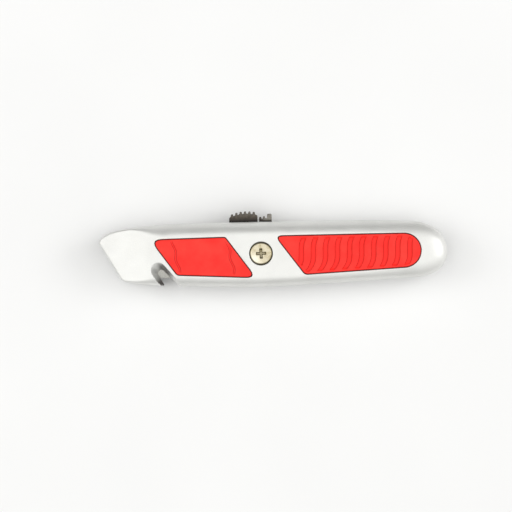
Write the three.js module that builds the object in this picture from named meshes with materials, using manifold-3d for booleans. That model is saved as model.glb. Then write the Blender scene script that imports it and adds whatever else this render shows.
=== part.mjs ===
// Retractable utility knife with a two-half cast housing, soft inlays, a sliding blade carrier
// and spare blades stored in the handle.
// Millimetres. The knife lies on its right side: +X runs to the tail, +Y to the thumb button and
// +Z through the thickness. The origin is on the housing screw's axis, on the face it rests on.
import * as THREE from 'three';
import { mergeVertices } from 'three/addons/utils/BufferGeometryUtils.js';
import Module from 'manifold-3d';

const wasm = await Module();
wasm.setup();

// Housing
const THICKNESS = 20;
const MID_Z = THICKNESS / 2;
const PARTING_GAP = 0.1;
const WALL = 2.9;
const FLOOR = 2.8;
const RIM_DEPTH = 5; // how far the rounded rim reaches in from each side face
const RIM_BACK = 6.2; // width of the rounded rim in side view, along the back
const RIM_BELLY = 4.8;
const RIM_NOSE = 0.9;
const RIM_NOSE_DEPTH = 1.4;
const RIM_TAIL = 8.5;
const RIM_BOW = 0.75; // how far the rim along the back is a shallow bow rather than a quarter ellipse
const NOSE_TAPER_START = -51;
const NOSE_TAPER = 0.106; // drop of each side face per millimetre towards the nose
const HOLLOW_START = -59;

// Blade: the standard trapezoid
const BLADE_LENGTH = 61;
const BLADE_HEIGHT = 18.7;
const BLADE_THICKNESS = 0.6;
const BLADE_SLANT = 13.2;
const NOTCH_PITCH = 12.5;
const NOTCH_WIDTH = 3;
const NOTCH_DEPTH = 2.3;
const BLADE_CENTRE_X = -33;
const BLADE_EDGE_Y = -10.15;
const BLADE_BACK_Y = BLADE_EDGE_Y + BLADE_HEIGHT;
const BLADE_TRAVEL = 21;
const BLADE_PLAY = 0.3;

// Carrier and thumb button
const BAR_BOTTOM_Y = 8.9;
const BAR_TOP_Y = 11.4;
const BAR_FRONT_X = -34;
const BAR_REAR_X = 6;
const BAR_HALF = 2.4;
const CARRIER_PLAY = 0.4;
const BUTTON_FRONT_X = -14.25;
const BUTTON_REAR_X = -1.15;
const BUTTON_BASE_Y = 12.9;
const BUTTON_HALF = 3.6;
const BUTTON_PRESS = 1.2;
const TOOTH_PITCH = 2.01;
const TOOTH_HEIGHT = 1;
const SLOT_PLAY = 0.35;
const TAIL_FRONT_X = -0.46;
const TAIL_REAR_X = 5.4;
const PIN_X = -8.1;
const PIN_Y = 14.2;
const PIN_RADIUS = 0.5;
const POST_HALF_LENGTH = 2.4;
const POST_HALF = 1.1;
const POST_TOP_Y = 15;
const PIN_HALF_LENGTH = 2.6;
const SPRING_X = -3.1;
const SPRING_RADIUS = 1.0;
const SPRING_WIRE = 0.35;
const SPRING_BASE_Y = 11.65;
const SPRING_LENGTH = 3.9;

// Screw and its insert
const HEAD_RADIUS = 5.2;
const HEAD_TOP_Z = 19.7;
const HEAD_HEIGHT = 3.4;
const SHANK_RADIUS = 2.4;
const SHANK_END_Z = 4;
const INSERT_RADIUS = 3.5;
const INSERT_BORE = 2.5;
const INSERT_BOTTOM_Z = 2.6;
const INSERT_TOP_Z = 9.7;
const COUNTERBORE_RADIUS = 5.45;
const BOSS_RIGHT = 5.5;
const BOSS_LEFT = 6.5;

// Inlays
const INLAY_THICKNESS = 1.4;
const INLAY_SINK = 0.1;
const INLAY_GAP = 0.4;
const INLAY_POCKET = 1.6;
const GROOVE_COUNT = 10;
const GROOVE_PITCH = 5.55;
const GROOVE_WIDTH = 2.2;
const GROOVE_DEPTH = 0.6;
const FIRST_GROOVE_X = 18.6;
const GROOVE_SWEEP = 2.4;

// String-cutting notch in the belly: wide at the side faces, narrow beside the blade
const CUTTER_X = -47.45;
const CUTTER_Y = -6.5;
const CUTTER_RADIUS = 3.45;
const CUTTER_FLARE = 2.9; // how much wider the nose side is at the far end
const THROAT_RADIUS = 1.6;
const THROAT_MOUTH = 2.5; // half width where the throat leaves the belly
const THROAT_FLARE = 2.2; // how much wider its nose side is at the far end
const THROAT_ADVANCE = 1.8; // how far the throat's end lies ahead of the wide end
const THROAT_DEPTH = 0.9;
const FUNNEL_DEPTH = 7.5;
const CUTTER_DIRECTION = new THREE.Vector2(0.65, -0.76);
const CUTTER_LENGTH = 16;
const CUTTER_WALL = 1.5;

// Spare blades
const SPARE_COUNT = 5;
const SPARE_CENTRE_X = 43.2;
const SPARE_EDGE_Y = -9.3;
const SPARE_FIRST_Z = 3;
const SPARE_STEP = 0.7;

// Leaf that holds the spare blades down, and its rivet
const CLIP_X = 12.6;
const CLIP_SEAT_Z = 8;
const CLIP_SHEET = 0.4;
const CLIP_WIDTH = 7;
const RIVET_RADIUS = 0.7;

const COLOURS = {
  housing: { color: 0xdfe0dc, roughness: 0.38, metalness: 0.3 },
  inlay: { color: 0xff3a34, roughness: 0.6, metalness: 0 },
  screw: { color: 0xe6dcc0, roughness: 0.28, metalness: 0.9 },
  brass: { color: 0xc9a45a, roughness: 0.3, metalness: 0.9 },
  carrier: { color: 0x4a443c, roughness: 0.5, metalness: 0.5 },
  steel: { color: 0xb9bab8, roughness: 0.3, metalness: 0.9 },
};

const knife = new THREE.Group();

// ---- tools -------------------------------------------------------------------------------

function solidOf(geometry) {
  const bare = geometry.clone();
  bare.deleteAttribute('normal');
  bare.deleteAttribute('uv');
  const merged = mergeVertices(bare, 1e-4);
  return new wasm.Manifold(new wasm.Mesh({
    numProp: 3,
    vertProperties: new Float32Array(merged.attributes.position.array),
    triVerts: new Uint32Array(merged.index.array),
  }));
}

function geometryOf(solid) {
  const mesh = solid.getMesh();
  const geometry = new THREE.BufferGeometry();
  geometry.setAttribute('position', new THREE.BufferAttribute(new Float32Array(mesh.vertProperties), 3));
  geometry.setIndex(new THREE.BufferAttribute(new Uint32Array(mesh.triVerts), 1));
  geometry.computeVertexNormals();
  return geometry;
}

function addPart(name, shape, colour) {
  const geometry = shape.isBufferGeometry ? shape : geometryOf(shape);
  const mesh = new THREE.Mesh(geometry, new THREE.MeshStandardMaterial(COLOURS[colour]));
  mesh.name = name;
  knife.add(mesh);
}

function join(solids) {
  return solids.reduce((whole, piece) => whole.add(piece));
}

function cut(solid, tools) {
  return tools.reduce((rest, tool) => rest.subtract(tool), solid);
}

// A plan shape extruded from z0 to z1.
function slab(shape, z0, z1, curveSegments = 6) {
  const geometry = new THREE.ExtrudeGeometry(shape, { depth: z1 - z0, bevelEnabled: false, curveSegments });
  geometry.translate(0, 0, z0);
  return solidOf(geometry);
}

function polygon(points) {
  return new THREE.Shape(points.map(([x, y]) => new THREE.Vector2(x, y)));
}

function rectangle(x0, x1, y0, y1) {
  return polygon([[x0, y0], [x1, y0], [x1, y1], [x0, y1]]);
}

function disc(x, y, radius) {
  const shape = new THREE.Shape();
  shape.absarc(x, y, radius, 0, 2 * Math.PI, false);
  return shape;
}

function block(x0, x1, y0, y1, z0, z1) {
  return slab(rectangle(x0, x1, y0, y1), z0, z1);
}

// The same feature in either half, given by its distances from the parting plane.
function halfSlab(side, shape, near, far, curveSegments) {
  return side === 'right'
    ? slab(shape, MID_Z - far, MID_Z - near, curveSegments)
    : slab(shape, MID_Z + near, MID_Z + far, curveSegments);
}

function halfBlock(side, x0, x1, y0, y1, near, far) {
  return halfSlab(side, rectangle(x0, x1, y0, y1), near, far);
}

function blend(from, to, amount) {
  return from + (to - from) * amount;
}

// Corners given as [x, y, radius], joined by straight sides and rounded.
function roundedPolygon(corners) {
  const shape = new THREE.Shape();
  corners.forEach(([x, y, radius], index) => {
    const here = new THREE.Vector2(x, y);
    const [previous, next] = [corners.at(index - 1), corners[(index + 1) % corners.length]]
      .map(([cx, cy]) => new THREE.Vector2(cx, cy).sub(here).normalize());
    const halfAngle = Math.acos(previous.dot(next)) / 2;
    const setback = radius / Math.tan(halfAngle);
    const start = here.clone().addScaledVector(previous, setback);
    const end = here.clone().addScaledVector(next, setback);
    if (index === 0) {
      shape.moveTo(start.x, start.y);
    } else {
      shape.lineTo(start.x, start.y);
    }
    shape.quadraticCurveTo(x, y, end.x, end.y);
  });
  shape.closePath();
  return shape;
}

// The same corners moved out by a gap on every side; the corners run counter-clockwise.
function grownCorners(corners, gap) {
  return corners.map(([x, y, radius], index) => {
    const here = new THREE.Vector2(x, y);
    const [px, py] = corners.at(index - 1);
    const [nx, ny] = corners[(index + 1) % corners.length];
    const arriving = here.clone().sub(new THREE.Vector2(px, py)).normalize();
    const leaving = new THREE.Vector2(nx, ny).sub(here).normalize();
    const outward = new THREE.Vector2(arriving.y + leaving.y, -arriving.x - leaving.x);
    const moved = here.addScaledVector(outward, gap / (1 + arriving.dot(leaving)));
    return [moved.x, moved.y, radius + gap];
  });
}

// ---- housing outline ---------------------------------------------------------------------

const vector = (x, y) => new THREE.Vector2(x, y);

// Side view of the housing, counter-clockwise from the lower nose corner.
function outlineRuns() {
  const belly = [[-62.9, -11.44], [-51.6, -13.15], [-37.8, -14.05], [-10.1, -15.1], [5, -15.25],
    [31.5, -14.42], [59.2, -13.34], [72, -12.7]];
  const back = [[72, 12.75], [55.4, 13.8], [18.4, 14.4], [-13.9, 14.7], [-37, 14.7],
    [-53.2, 13.95], [-64.8, 12.5], [-69.5, 11.25], [-72.7, 9.65]];
  return [
    [new THREE.QuadraticBezierCurve(vector(-64.95, -9.9), vector(-64.2, -11.19), vector(-62.9, -11.44)), 3],
    [new THREE.SplineCurve(belly.map(([x, y]) => vector(x, y))), 16],
    [new THREE.CubicBezierCurve(vector(72, -12.7), vector(80.2, -12.3), vector(85.9, -8.2), vector(85.8, -1.4)), 8],
    [new THREE.CubicBezierCurve(vector(85.8, -1.4), vector(85.8, 4.6), vector(82.2, 11.3), vector(72, 12.75)), 8],
    [new THREE.SplineCurve(back.map(([x, y]) => vector(x, y))), 18],
    [new THREE.CubicBezierCurve(vector(-72.7, 9.65), vector(-73.6, 8.9), vector(-74.9, 7.2), vector(-74.2, 6)), 4],
    [new THREE.LineCurve(vector(-74.2, 6), vector(-64.95, -9.9)), 3],
  ];
}

const outline = outlineRuns().flatMap(([curve, steps]) => curve.getSpacedPoints(steps).slice(0, -1));

const inward = outline.map((point, index) => {
  const before = outline.at(index - 1);
  const after = outline[(index + 1) % outline.length];
  return vector(before.y - after.y, after.x - before.x).normalize();
});

function insetOutline(distanceAt) {
  return outline.map((point, index) => point.clone().addScaledVector(inward[index], distanceAt(point)));
}

// Width, depth and bow of the rounded rim at a point of the outline.
function rimSizes(point) {
  const fromNose = THREE.MathUtils.smoothstep(point.x, -62, -44);
  const intoTail = THREE.MathUtils.smoothstep(point.x, 50, 80);
  const onBack = point.y > 0;
  const width = blend(blend(RIM_NOSE, onBack ? RIM_BACK : RIM_BELLY, fromNose), RIM_TAIL, intoTail);
  const depth = blend(RIM_NOSE_DEPTH, RIM_DEPTH, fromNose);
  const bow = onBack ? RIM_BOW * fromNose * (1 - intoTail) : 0;
  return { width, depth, bow };
}

// Drop of the rim below the side face, at a share of its width from 0 inside to 1 at the outline.
function rimDrop({ depth, bow }, share) {
  return depth * (bow * share ** 2 + (1 - bow) * (1 - Math.sqrt(1 - share ** 2)));
}

// The closed outer body of both halves: rings of the outline, drawn in and raised round the rim.
function outerBody() {
  const rimSteps = 4;
  const sizes = outline.map(rimSizes);
  const rings = [];
  for (let step = -rimSteps - 1; step <= rimSteps; step += 1) {
    const side = step < 0 ? -1 : 1;
    const angle = (step < 0 ? -step - 1 : step) * Math.PI / 2 / rimSteps;
    const share = Math.cos(angle);
    const points = insetOutline((point) => rimSizes(point).width * (1 - share));
    const heights = sizes.map((rim) => MID_Z + side * (MID_Z - rimDrop(rim, share)));
    rings.push({ points, heights });
  }
  const count = outline.length;
  const positions = rings.flatMap(({ points, heights }) =>
    points.flatMap((point, index) => [point.x, point.y, heights[index]]));
  const triangles = [];
  for (let ring = 0; ring < rings.length - 1; ring += 1) {
    for (let k = 0; k < count; k += 1) {
      const a = ring * count + k;
      const b = ring * count + (k + 1) % count;
      triangles.push(a, b, b + count, a, b + count, a + count);
    }
  }
  const last = (rings.length - 1) * count;
  for (const [a, b, c] of THREE.ShapeUtils.triangulateShape(rings[0].points, [])) {
    triangles.push(a, c, b, last + a, last + b, last + c);
  }
  const geometry = new THREE.BufferGeometry();
  geometry.setAttribute('position', new THREE.Float32BufferAttribute(positions, 3));
  geometry.setIndex(triangles);
  return cut(solidOf(geometry), [noseTaper(1), noseTaper(-1)]);
}

// Wedge that thins one side face towards the nose.
function noseTaper(side) {
  const far = -80;
  const reach = 25;
  const face = MID_Z + side * MID_Z;
  const beyond = face + side * 2;
  const drop = side * NOSE_TAPER * (NOSE_TAPER_START - far);
  const profile = [[far, face - drop], [NOSE_TAPER_START, face], [NOSE_TAPER_START, beyond], [far, beyond]];
  const ordered = side > 0 ? profile : profile.slice().reverse();
  const geometry = new THREE.ExtrudeGeometry(polygon(ordered), { depth: 2 * reach, bevelEnabled: false });
  geometry.rotateX(Math.PI / 2);
  geometry.translate(0, reach, 0);
  return solidOf(geometry);
}

// ---- features of the two halves ----------------------------------------------------------

const PIN_PLACES = [[-62.5, 10.8], [83.4, -1]];
const LOCATING_PIN_RADIUS = 0.85;
const LOCATING_PIN_HEIGHT = 2.4;
const CHANNEL_HALF = BLADE_THICKNESS / 2 + BLADE_PLAY;
const INSIDE = MID_Z - FLOOR;
const ROOT = INSIDE + 0.4; // ribs and bosses reach a little into the floor

// Plan of the string-cutting notch: a round end, moved on by an advance, and two sides out of the belly.
function cutterPlan(radius, mouth = radius, advance = 0, flare = 0) {
  const across = vector(-CUTTER_DIRECTION.y, CUTTER_DIRECTION.x);
  const centre = vector(CUTTER_X, CUTTER_Y).addScaledVector(CUTTER_DIRECTION, advance);
  const turn = Math.atan2(across.y, across.x);
  const shape = new THREE.Shape();
  shape.absarc(centre.x, centre.y, radius, turn, turn + Math.PI, false);
  for (const beside of [-mouth - flare, mouth]) {
    const end = centre.clone().addScaledVector(across, beside).addScaledVector(CUTTER_DIRECTION, CUTTER_LENGTH);
    shape.lineTo(end.x, end.y);
  }
  shape.closePath();
  return shape;
}

// The notch narrows from the side face down to the throat beside the blade.
function cutterCuts(side) {
  const wide = cutterPlan(CUTTER_RADIUS, CUTTER_RADIUS, 0, CUTTER_FLARE);
  const throat = cutterPlan(THROAT_RADIUS, THROAT_MOUTH, THROAT_ADVANCE, THROAT_FLARE);
  const skin = 0.05;
  return [
    halfSlab(side, throat, -1, THROAT_DEPTH + skin),
    wasm.Manifold.hull([
      halfSlab(side, throat, THROAT_DEPTH, THROAT_DEPTH + skin),
      halfSlab(side, wide, FUNNEL_DEPTH, FUNNEL_DEPTH + skin),
    ]),
    halfSlab(side, wide, FUNNEL_DEPTH, MID_Z + 1),
  ];
}

// Space the blade sweeps, open at the nose.
function bladeChannelPlan() {
  const top = BLADE_BACK_Y + 0.45;
  const bottom = BLADE_EDGE_Y - 0.45;
  const rear = BLADE_CENTRE_X + BLADE_LENGTH / 2 + 0.5;
  const backFront = BLADE_CENTRE_X - BLADE_LENGTH / 2 + BLADE_SLANT - BLADE_TRAVEL - 0.55;
  const mouth = -80;
  const slope = BLADE_HEIGHT / BLADE_SLANT;
  return polygon([[mouth, bottom], [rear, bottom], [rear, top], [backFront, top],
    [mouth, top + (mouth - backFront) * slope]]);
}

const frontInlayCorners = [[-50.4, 7.45, 2.6], [-38.8, -8.75, 2.4], [-3.1, -10.85, 2], [-16.4, 7.7, 1.5]];
const rearInlayCorners = [[7.1, 7.7, 1.6], [20.1, -10, 2.4], [65.9, -8, 0], [65.9, 7.35, 0]];

// The rear inlay ends in a half round at the tail.
function rearInlayShape(corners) {
  const [upperLeft, lowerLeft, lowerRight, upperRight] = corners;
  const centreX = rearInlayCorners[2][0];
  const shape = roundedPolygon([upperLeft, lowerLeft, [...lowerRight.slice(0, 2), 0.01], [...upperRight.slice(0, 2), 0.01]]);
  const points = shape.extractPoints(4).shape.filter((point) => point.x < centreX - 0.1);
  const radius = (upperRight[1] - lowerRight[1]) / 2;
  const centreY = (upperRight[1] + lowerRight[1]) / 2;
  const arc = [];
  const steps = 12;
  for (let step = 0; step <= steps; step += 1) {
    const angle = -Math.PI / 2 + step * Math.PI / steps;
    arc.push(vector(centreX + radius * Math.cos(angle), centreY + radius * Math.sin(angle)));
  }
  const split = points.findIndex((point, index) => index > 0 && point.y > points[index - 1].y + 5);
  const ordered = split > 0 ? [...points.slice(0, split), ...arc, ...points.slice(split)] : [...points, ...arc];
  return new THREE.Shape(ordered);
}

function inlayShapes(gap) {
  return {
    front: roundedPolygon(grownCorners(frontInlayCorners, gap)),
    rear: rearInlayShape(grownCorners(rearInlayCorners, gap)),
  };
}

// Plan of the hollow inside: the outline drawn in by the wall, and ended by the solid nose.
function hollowPlan() {
  return new THREE.Shape(insetOutline(() => WALL).filter((point) => point.x > HOLLOW_START));
}

function shellHalf(side) {
  const half = body.intersect(halfBlock(side, -90, 90, -30, 30, PARTING_GAP / 2, MID_Z + 1));
  const hollow = halfSlab(side, hollowPlan(), -1, INSIDE);
  const inner = side === 'right' ? rightRibs() : leftRibs();
  const kept = join([half.subtract(hollow), join(inner).intersect(half)]);
  return cut(kept, [...commonCuts(side), ...(side === 'right' ? rightCuts() : leftCuts())]);
}

function sharedRibs(side) {
  return [
    halfSlab(side, cutterPlan(CUTTER_RADIUS + CUTTER_WALL), 0, ROOT),
    halfBlock(side, -34, -9, -9.2, -7.4, 0, ROOT),
    halfBlock(side, HOLLOW_START - 1, 8, 9.5, 11.1, BAR_HALF + CARRIER_PLAY, ROOT),
    halfBlock(side, 9.4, 10.9, -14, 8.4, 0, ROOT),
  ];
}

function rightRibs() {
  return [
    ...sharedRibs('right'),
    halfSlab('right', disc(0, 0, BOSS_RIGHT), 0, ROOT, 12),
    halfBlock('right', HOLLOW_START - 1, -9, 3.2, 5, 0, ROOT),
    halfSlab('right', disc(CLIP_X, 0, 2.2), MID_Z - CLIP_SEAT_Z, ROOT, 8),
    ...sparePosts(),
  ];
}

function leftRibs() {
  return [
    ...sharedRibs('left'),
    halfSlab('left', disc(0, 0, BOSS_LEFT), 0, ROOT, 12),
    halfBlock('left', HOLLOW_START - 1, -13, 1.6, 3.4, 0, ROOT),
  ];
}

// Posts in the notches of the stored blades.
function sparePosts() {
  const top = SPARE_FIRST_Z + SPARE_COUNT * SPARE_STEP + 0.3;
  const y = SPARE_EDGE_Y + BLADE_HEIGHT - 0.9;
  return [-0.5, 0.5].map((k) => (
    halfSlab('right', disc(SPARE_CENTRE_X + k * NOTCH_PITCH, y, 1.1), MID_Z - top, ROOT, 4)
  ));
}

function commonCuts(side) {
  const carrierFront = -42 - BLADE_TRAVEL - 0.6;
  const slotFront = BUTTON_FRONT_X - BLADE_TRAVEL - 0.4;
  const shapes = inlayShapes(INLAY_GAP);
  const pocket = [MID_Z - INLAY_POCKET, MID_Z + 1];
  return [
    halfSlab(side, bladeChannelPlan(), -1, CHANNEL_HALF),
    halfBlock(side, BAR_FRONT_X - BLADE_TRAVEL - 0.6, BAR_REAR_X + 1, BAR_BOTTOM_Y - 0.4, BAR_TOP_Y + 0.3,
      -1, BAR_HALF + CARRIER_PLAY),
    halfBlock(side, carrierFront, -8, -0.9, BAR_BOTTOM_Y + 0.7, -1, side === 'right' ? 2.4 : 1.6),
    halfBlock(side, slotFront, TAIL_REAR_X + 0.4, BAR_TOP_Y, 25, -1, BUTTON_HALF + SLOT_PLAY),
    ...cutterCuts(side),
    halfSlab(side, shapes.front, ...pocket),
    halfSlab(side, shapes.rear, ...pocket),
  ];
}

function rightCuts() {
  return [
    halfSlab('right', disc(0, 0, INSERT_RADIUS + 0.05), -1, MID_Z - INSERT_BOTTOM_Z + 0.1, 12),
    slab(disc(CLIP_X, 0, RIVET_RADIUS + 0.05), CLIP_SEAT_Z - 3.2, MID_Z, 6),
    block(9, 11.3, -CLIP_WIDTH / 2 - 0.3, CLIP_WIDTH / 2 + 0.3, CLIP_SEAT_Z - 0.1, MID_Z),
  ];
}

function leftCuts() {
  const seat = HEAD_TOP_Z - HEAD_HEIGHT - 0.1;
  return [
    halfSlab('left', disc(0, 0, COUNTERBORE_RADIUS), seat - MID_Z, MID_Z + 1, 16),
    halfSlab('left', disc(0, 0, SHANK_RADIUS + 0.35), -1, MID_Z, 12),
    ...PIN_PLACES.map(([x, y]) => (
      halfSlab('left', disc(x, y, LOCATING_PIN_RADIUS + 0.2), -1, LOCATING_PIN_HEIGHT + 0.3, 4)
    )),
  ];
}

function locatingPins() {
  return PIN_PLACES.map(([x, y]) => (
    slab(disc(x, y, LOCATING_PIN_RADIUS), MID_Z - 1, MID_Z + LOCATING_PIN_HEIGHT, 4)
  ));
}

// ---- the pieces --------------------------------------------------------------------------

function bladeSolid(centreX, edgeY, bottomZ) {
  const left = centreX - BLADE_LENGTH / 2;
  const right = centreX + BLADE_LENGTH / 2;
  const backY = edgeY + BLADE_HEIGHT;
  const points = [[left, edgeY], [right, edgeY], [right - BLADE_SLANT, backY]];
  for (const k of [0.5, -0.5]) {
    const x = centreX + k * NOTCH_PITCH;
    const half = NOTCH_WIDTH / 2;
    points.push([x + half, backY], [x + half, backY - NOTCH_DEPTH], [x - half, backY - NOTCH_DEPTH], [x - half, backY]);
  }
  points.push([left + BLADE_SLANT, backY]);
  return slab(polygon(points), bottomZ, bottomZ + BLADE_THICKNESS);
}

function grooveX(y) {
  return GROOVE_SWEEP * (y / 8) ** 3;
}

// Wave-shaped groove across the rear inlay.
function groovePlan(centreX) {
  const levels = [-12, -8, -4, 0, 4, 8, 11];
  const right = levels.map((y) => [centreX + GROOVE_WIDTH / 2 + grooveX(y), y]);
  const left = levels.map((y) => [centreX - GROOVE_WIDTH / 2 + grooveX(y), y]).reverse();
  return polygon([...right, ...left]);
}

function inlay(side, which) {
  const shape = inlayShapes(0)[which];
  const outerFace = MID_Z - INLAY_SINK;
  const plate = halfSlab(side, shape, outerFace - INLAY_THICKNESS, outerFace);
  if (which === 'front') {
    return plate;
  }
  const grooves = [];
  for (let k = 0; k < GROOVE_COUNT; k += 1) {
    grooves.push(halfSlab(side, groovePlan(FIRST_GROOVE_X + k * GROOVE_PITCH), outerFace - GROOVE_DEPTH, MID_Z + 1));
  }
  return cut(plate, grooves);
}

// Pan-head screw with a cross recess.
function housingScrew() {
  const edge = 1.0;
  const profile = [vector(0, SHANK_END_Z), vector(SHANK_RADIUS - 0.6, SHANK_END_Z), vector(SHANK_RADIUS, SHANK_END_Z + 0.6),
    vector(SHANK_RADIUS, HEAD_TOP_Z - HEAD_HEIGHT), vector(HEAD_RADIUS, HEAD_TOP_Z - HEAD_HEIGHT)];
  for (const angle of [0, 30, 60, 90]) {
    const a = THREE.MathUtils.degToRad(angle);
    profile.push(vector(HEAD_RADIUS - edge + edge * Math.cos(a), HEAD_TOP_Z - edge + edge * Math.sin(a)));
  }
  profile.push(vector(0, HEAD_TOP_Z));
  const geometry = new THREE.LatheGeometry(profile, 32);
  geometry.rotateX(Math.PI / 2);
  const turned = solidOf(geometry);
  return cut(turned, crossRecess());
}

function crossRecess() {
  const span = 2.3;
  const width = 0.65;
  const depth = 2.2;
  const turn = 0.035;
  return [0, Math.PI / 2].map((angle) => {
    const bar = rectangle(-span, span, -width, width);
    const geometry = new THREE.ExtrudeGeometry(bar, { depth: depth + 1, bevelEnabled: false });
    geometry.rotateZ(angle + turn);
    geometry.translate(0, 0, HEAD_TOP_Z - depth);
    return solidOf(geometry);
  });
}

function threadedInsert() {
  const ring = disc(0, 0, INSERT_RADIUS);
  ring.holes.push(disc(0, 0, INSERT_BORE));
  return slab(ring, INSERT_BOTTOM_Z, INSERT_TOP_Z, 12);
}

// Height of the thumb button's crown at x; the teeth follow it.
function crownY(x) {
  return 19.65 - 0.0275 * (x + 6.4) ** 2;
}

function toothPoints(x, tipY) {
  return [[x + 0.6, tipY - TOOTH_HEIGHT], [x + 0.4, tipY], [x - 0.4, tipY], [x - 0.6, tipY - TOOTH_HEIGHT]];
}

function buttonPlan() {
  const points = [[BUTTON_FRONT_X, BUTTON_BASE_Y], [BUTTON_REAR_X, BUTTON_BASE_Y], [BUTTON_REAR_X, 17.4]];
  for (let k = 0; k < 6; k += 1) {
    const x = -2.84 - k * TOOTH_PITCH;
    points.push(...toothPoints(x, crownY(x)));
  }
  points.push([BUTTON_FRONT_X + 0.35, 17], [BUTTON_FRONT_X, 16.2]);
  return polygon(points);
}

function thumbButton() {
  const whole = slab(buttonPlan(), MID_Z - BUTTON_HALF, MID_Z + BUTTON_HALF);
  const below = BUTTON_BASE_Y - 1;
  const room = POST_HALF_LENGTH + 0.5;
  const pocketTop = POST_TOP_Y + BUTTON_PRESS + 0.3;
  const springBore = new THREE.CylinderGeometry(1.5, 1.5, 5.2, 16);
  springBore.translate(SPRING_X, below + 2.6, MID_Z);
  return cut(whole, [
    block(PIN_X - room, PIN_X + room, below, pocketTop, MID_Z - POST_HALF - 0.4, MID_Z + POST_HALF + 0.4),
    block(PIN_X - PIN_RADIUS - 0.1, PIN_X + PIN_RADIUS + 0.1, PIN_Y - PIN_RADIUS - 0.1,
      PIN_Y + PIN_RADIUS + BUTTON_PRESS + 0.1, MID_Z - PIN_HALF_LENGTH - 0.2, MID_Z + PIN_HALF_LENGTH + 0.2),
    solidOf(springBore),
  ]);
}

function carrierTailPlan() {
  const base = BAR_TOP_Y - 0.1;
  return polygon([[TAIL_FRONT_X, base], [TAIL_REAR_X, base], [TAIL_REAR_X, 17.8], [TAIL_REAR_X - 0.5, 18.3],
    [3.7, 18.3], [3.3, 17.8], [3.2, 16.4], ...toothPoints(1.87, 17.2), ...toothPoints(0.15, 16.95), [TAIL_FRONT_X, 15.9]]);
}

function bladeCarrier() {
  const plateTop = MID_Z - BLADE_THICKNESS / 2 - 0.1;
  const plateBottom = plateTop - 1.6;
  const lugs = [-0.5, 0.5].map((k) => {
    const x = BLADE_CENTRE_X + k * NOTCH_PITCH;
    return block(x - 1.2, x + 1.2, BLADE_BACK_Y - NOTCH_DEPTH + 0.4, BAR_BOTTOM_Y + 0.3, plateTop - 0.4, MID_Z + 1.2);
  });
  const plate = polygon([[-42, 1], [-40.5, -0.5], [-10.5, -0.5], [-16.5, 9.2], [-42, 9.2]]);
  const post = block(PIN_X - POST_HALF_LENGTH, PIN_X + POST_HALF_LENGTH, BAR_TOP_Y - 0.5, POST_TOP_Y,
    MID_Z - POST_HALF, MID_Z + POST_HALF);
  const whole = join([
    slab(plate, plateBottom, plateTop),
    block(BAR_FRONT_X, BAR_REAR_X, BAR_BOTTOM_Y, BAR_TOP_Y, MID_Z - BAR_HALF, MID_Z + BAR_HALF),
    slab(carrierTailPlan(), MID_Z - BUTTON_HALF, MID_Z + BUTTON_HALF),
    post,
    ...lugs,
  ]);
  const pinHole = slab(disc(PIN_X, PIN_Y, PIN_RADIUS + 0.05), 0, THICKNESS, 4);
  return whole.subtract(pinHole);
}

function buttonPin() {
  return slab(disc(PIN_X, PIN_Y, PIN_RADIUS), MID_Z - PIN_HALF_LENGTH, MID_Z + PIN_HALF_LENGTH, 4);
}

// Small compression spring that lifts the thumb button.
class Helix extends THREE.Curve {
  getPoint(t) {
    const turns = 5;
    const angle = 2 * Math.PI * turns * t;
    return new THREE.Vector3(SPRING_X + SPRING_RADIUS * Math.cos(angle),
      SPRING_BASE_Y + SPRING_LENGTH * t, MID_Z + SPRING_RADIUS * Math.sin(angle));
  }
}

function buttonSpring() {
  const section = new THREE.Shape();
  section.absarc(0, 0, SPRING_WIRE / 2, 0, 2 * Math.PI, false);
  return solidOf(new THREE.ExtrudeGeometry(section, { steps: 50, extrudePath: new Helix(), curveSegments: 3 }));
}

// Bent leaf that holds the stored blades down.
function spareBladeClip() {
  const bottom = CLIP_SEAT_Z + 0.1;
  const bend = [[CLIP_X - 2.4, bottom], [CLIP_X + 2.4, bottom], [29, 7.15], [31, 7.6]];
  const profile = [...bend, ...bend.slice().reverse().map(([x, z]) => [x, z + CLIP_SHEET])];
  const geometry = new THREE.ExtrudeGeometry(polygon(profile), { depth: CLIP_WIDTH, bevelEnabled: false });
  geometry.rotateX(Math.PI / 2);
  geometry.translate(0, CLIP_WIDTH / 2, 0);
  return solidOf(geometry).subtract(slab(disc(CLIP_X, 0, RIVET_RADIUS + 0.05), 0, THICKNESS, 6));
}

function clipRivet() {
  const underHead = CLIP_SEAT_Z + CLIP_SHEET + 0.2;
  return join([
    slab(disc(CLIP_X, 0, RIVET_RADIUS), CLIP_SEAT_Z - 3, underHead + 0.1, 6),
    slab(disc(CLIP_X, 0, 2 * RIVET_RADIUS), underHead, underHead + 0.6, 6),
  ]);
}

const body = outerBody();

addPart('right_shell', join([shellHalf('right'), ...locatingPins()]), 'housing');
addPart('left_shell', shellHalf('left'), 'housing');
for (const side of ['right', 'left']) {
  for (const which of ['front', 'rear']) {
    addPart(`${side}_${which}_inlay`, inlay(side, which), 'inlay');
  }
}
addPart('housing_screw', housingScrew(), 'screw');
addPart('threaded_insert', threadedInsert(), 'brass');
addPart('blade_carrier', bladeCarrier(), 'carrier');
addPart('blade', bladeSolid(BLADE_CENTRE_X, BLADE_EDGE_Y, MID_Z - BLADE_THICKNESS / 2), 'steel');
addPart('thumb_button', thumbButton(), 'carrier');
addPart('button_pin', buttonPin(), 'steel');
addPart('button_spring', buttonSpring(), 'steel');
for (let k = 0; k < SPARE_COUNT; k += 1) {
  addPart(`spare_blade_${k + 1}`, bladeSolid(SPARE_CENTRE_X, SPARE_EDGE_Y, SPARE_FIRST_Z + k * SPARE_STEP), 'steel');
}
addPart('spare_blade_clip', spareBladeClip(), 'steel');
addPart('clip_rivet', clipRivet(), 'steel');

export default knife;
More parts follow.
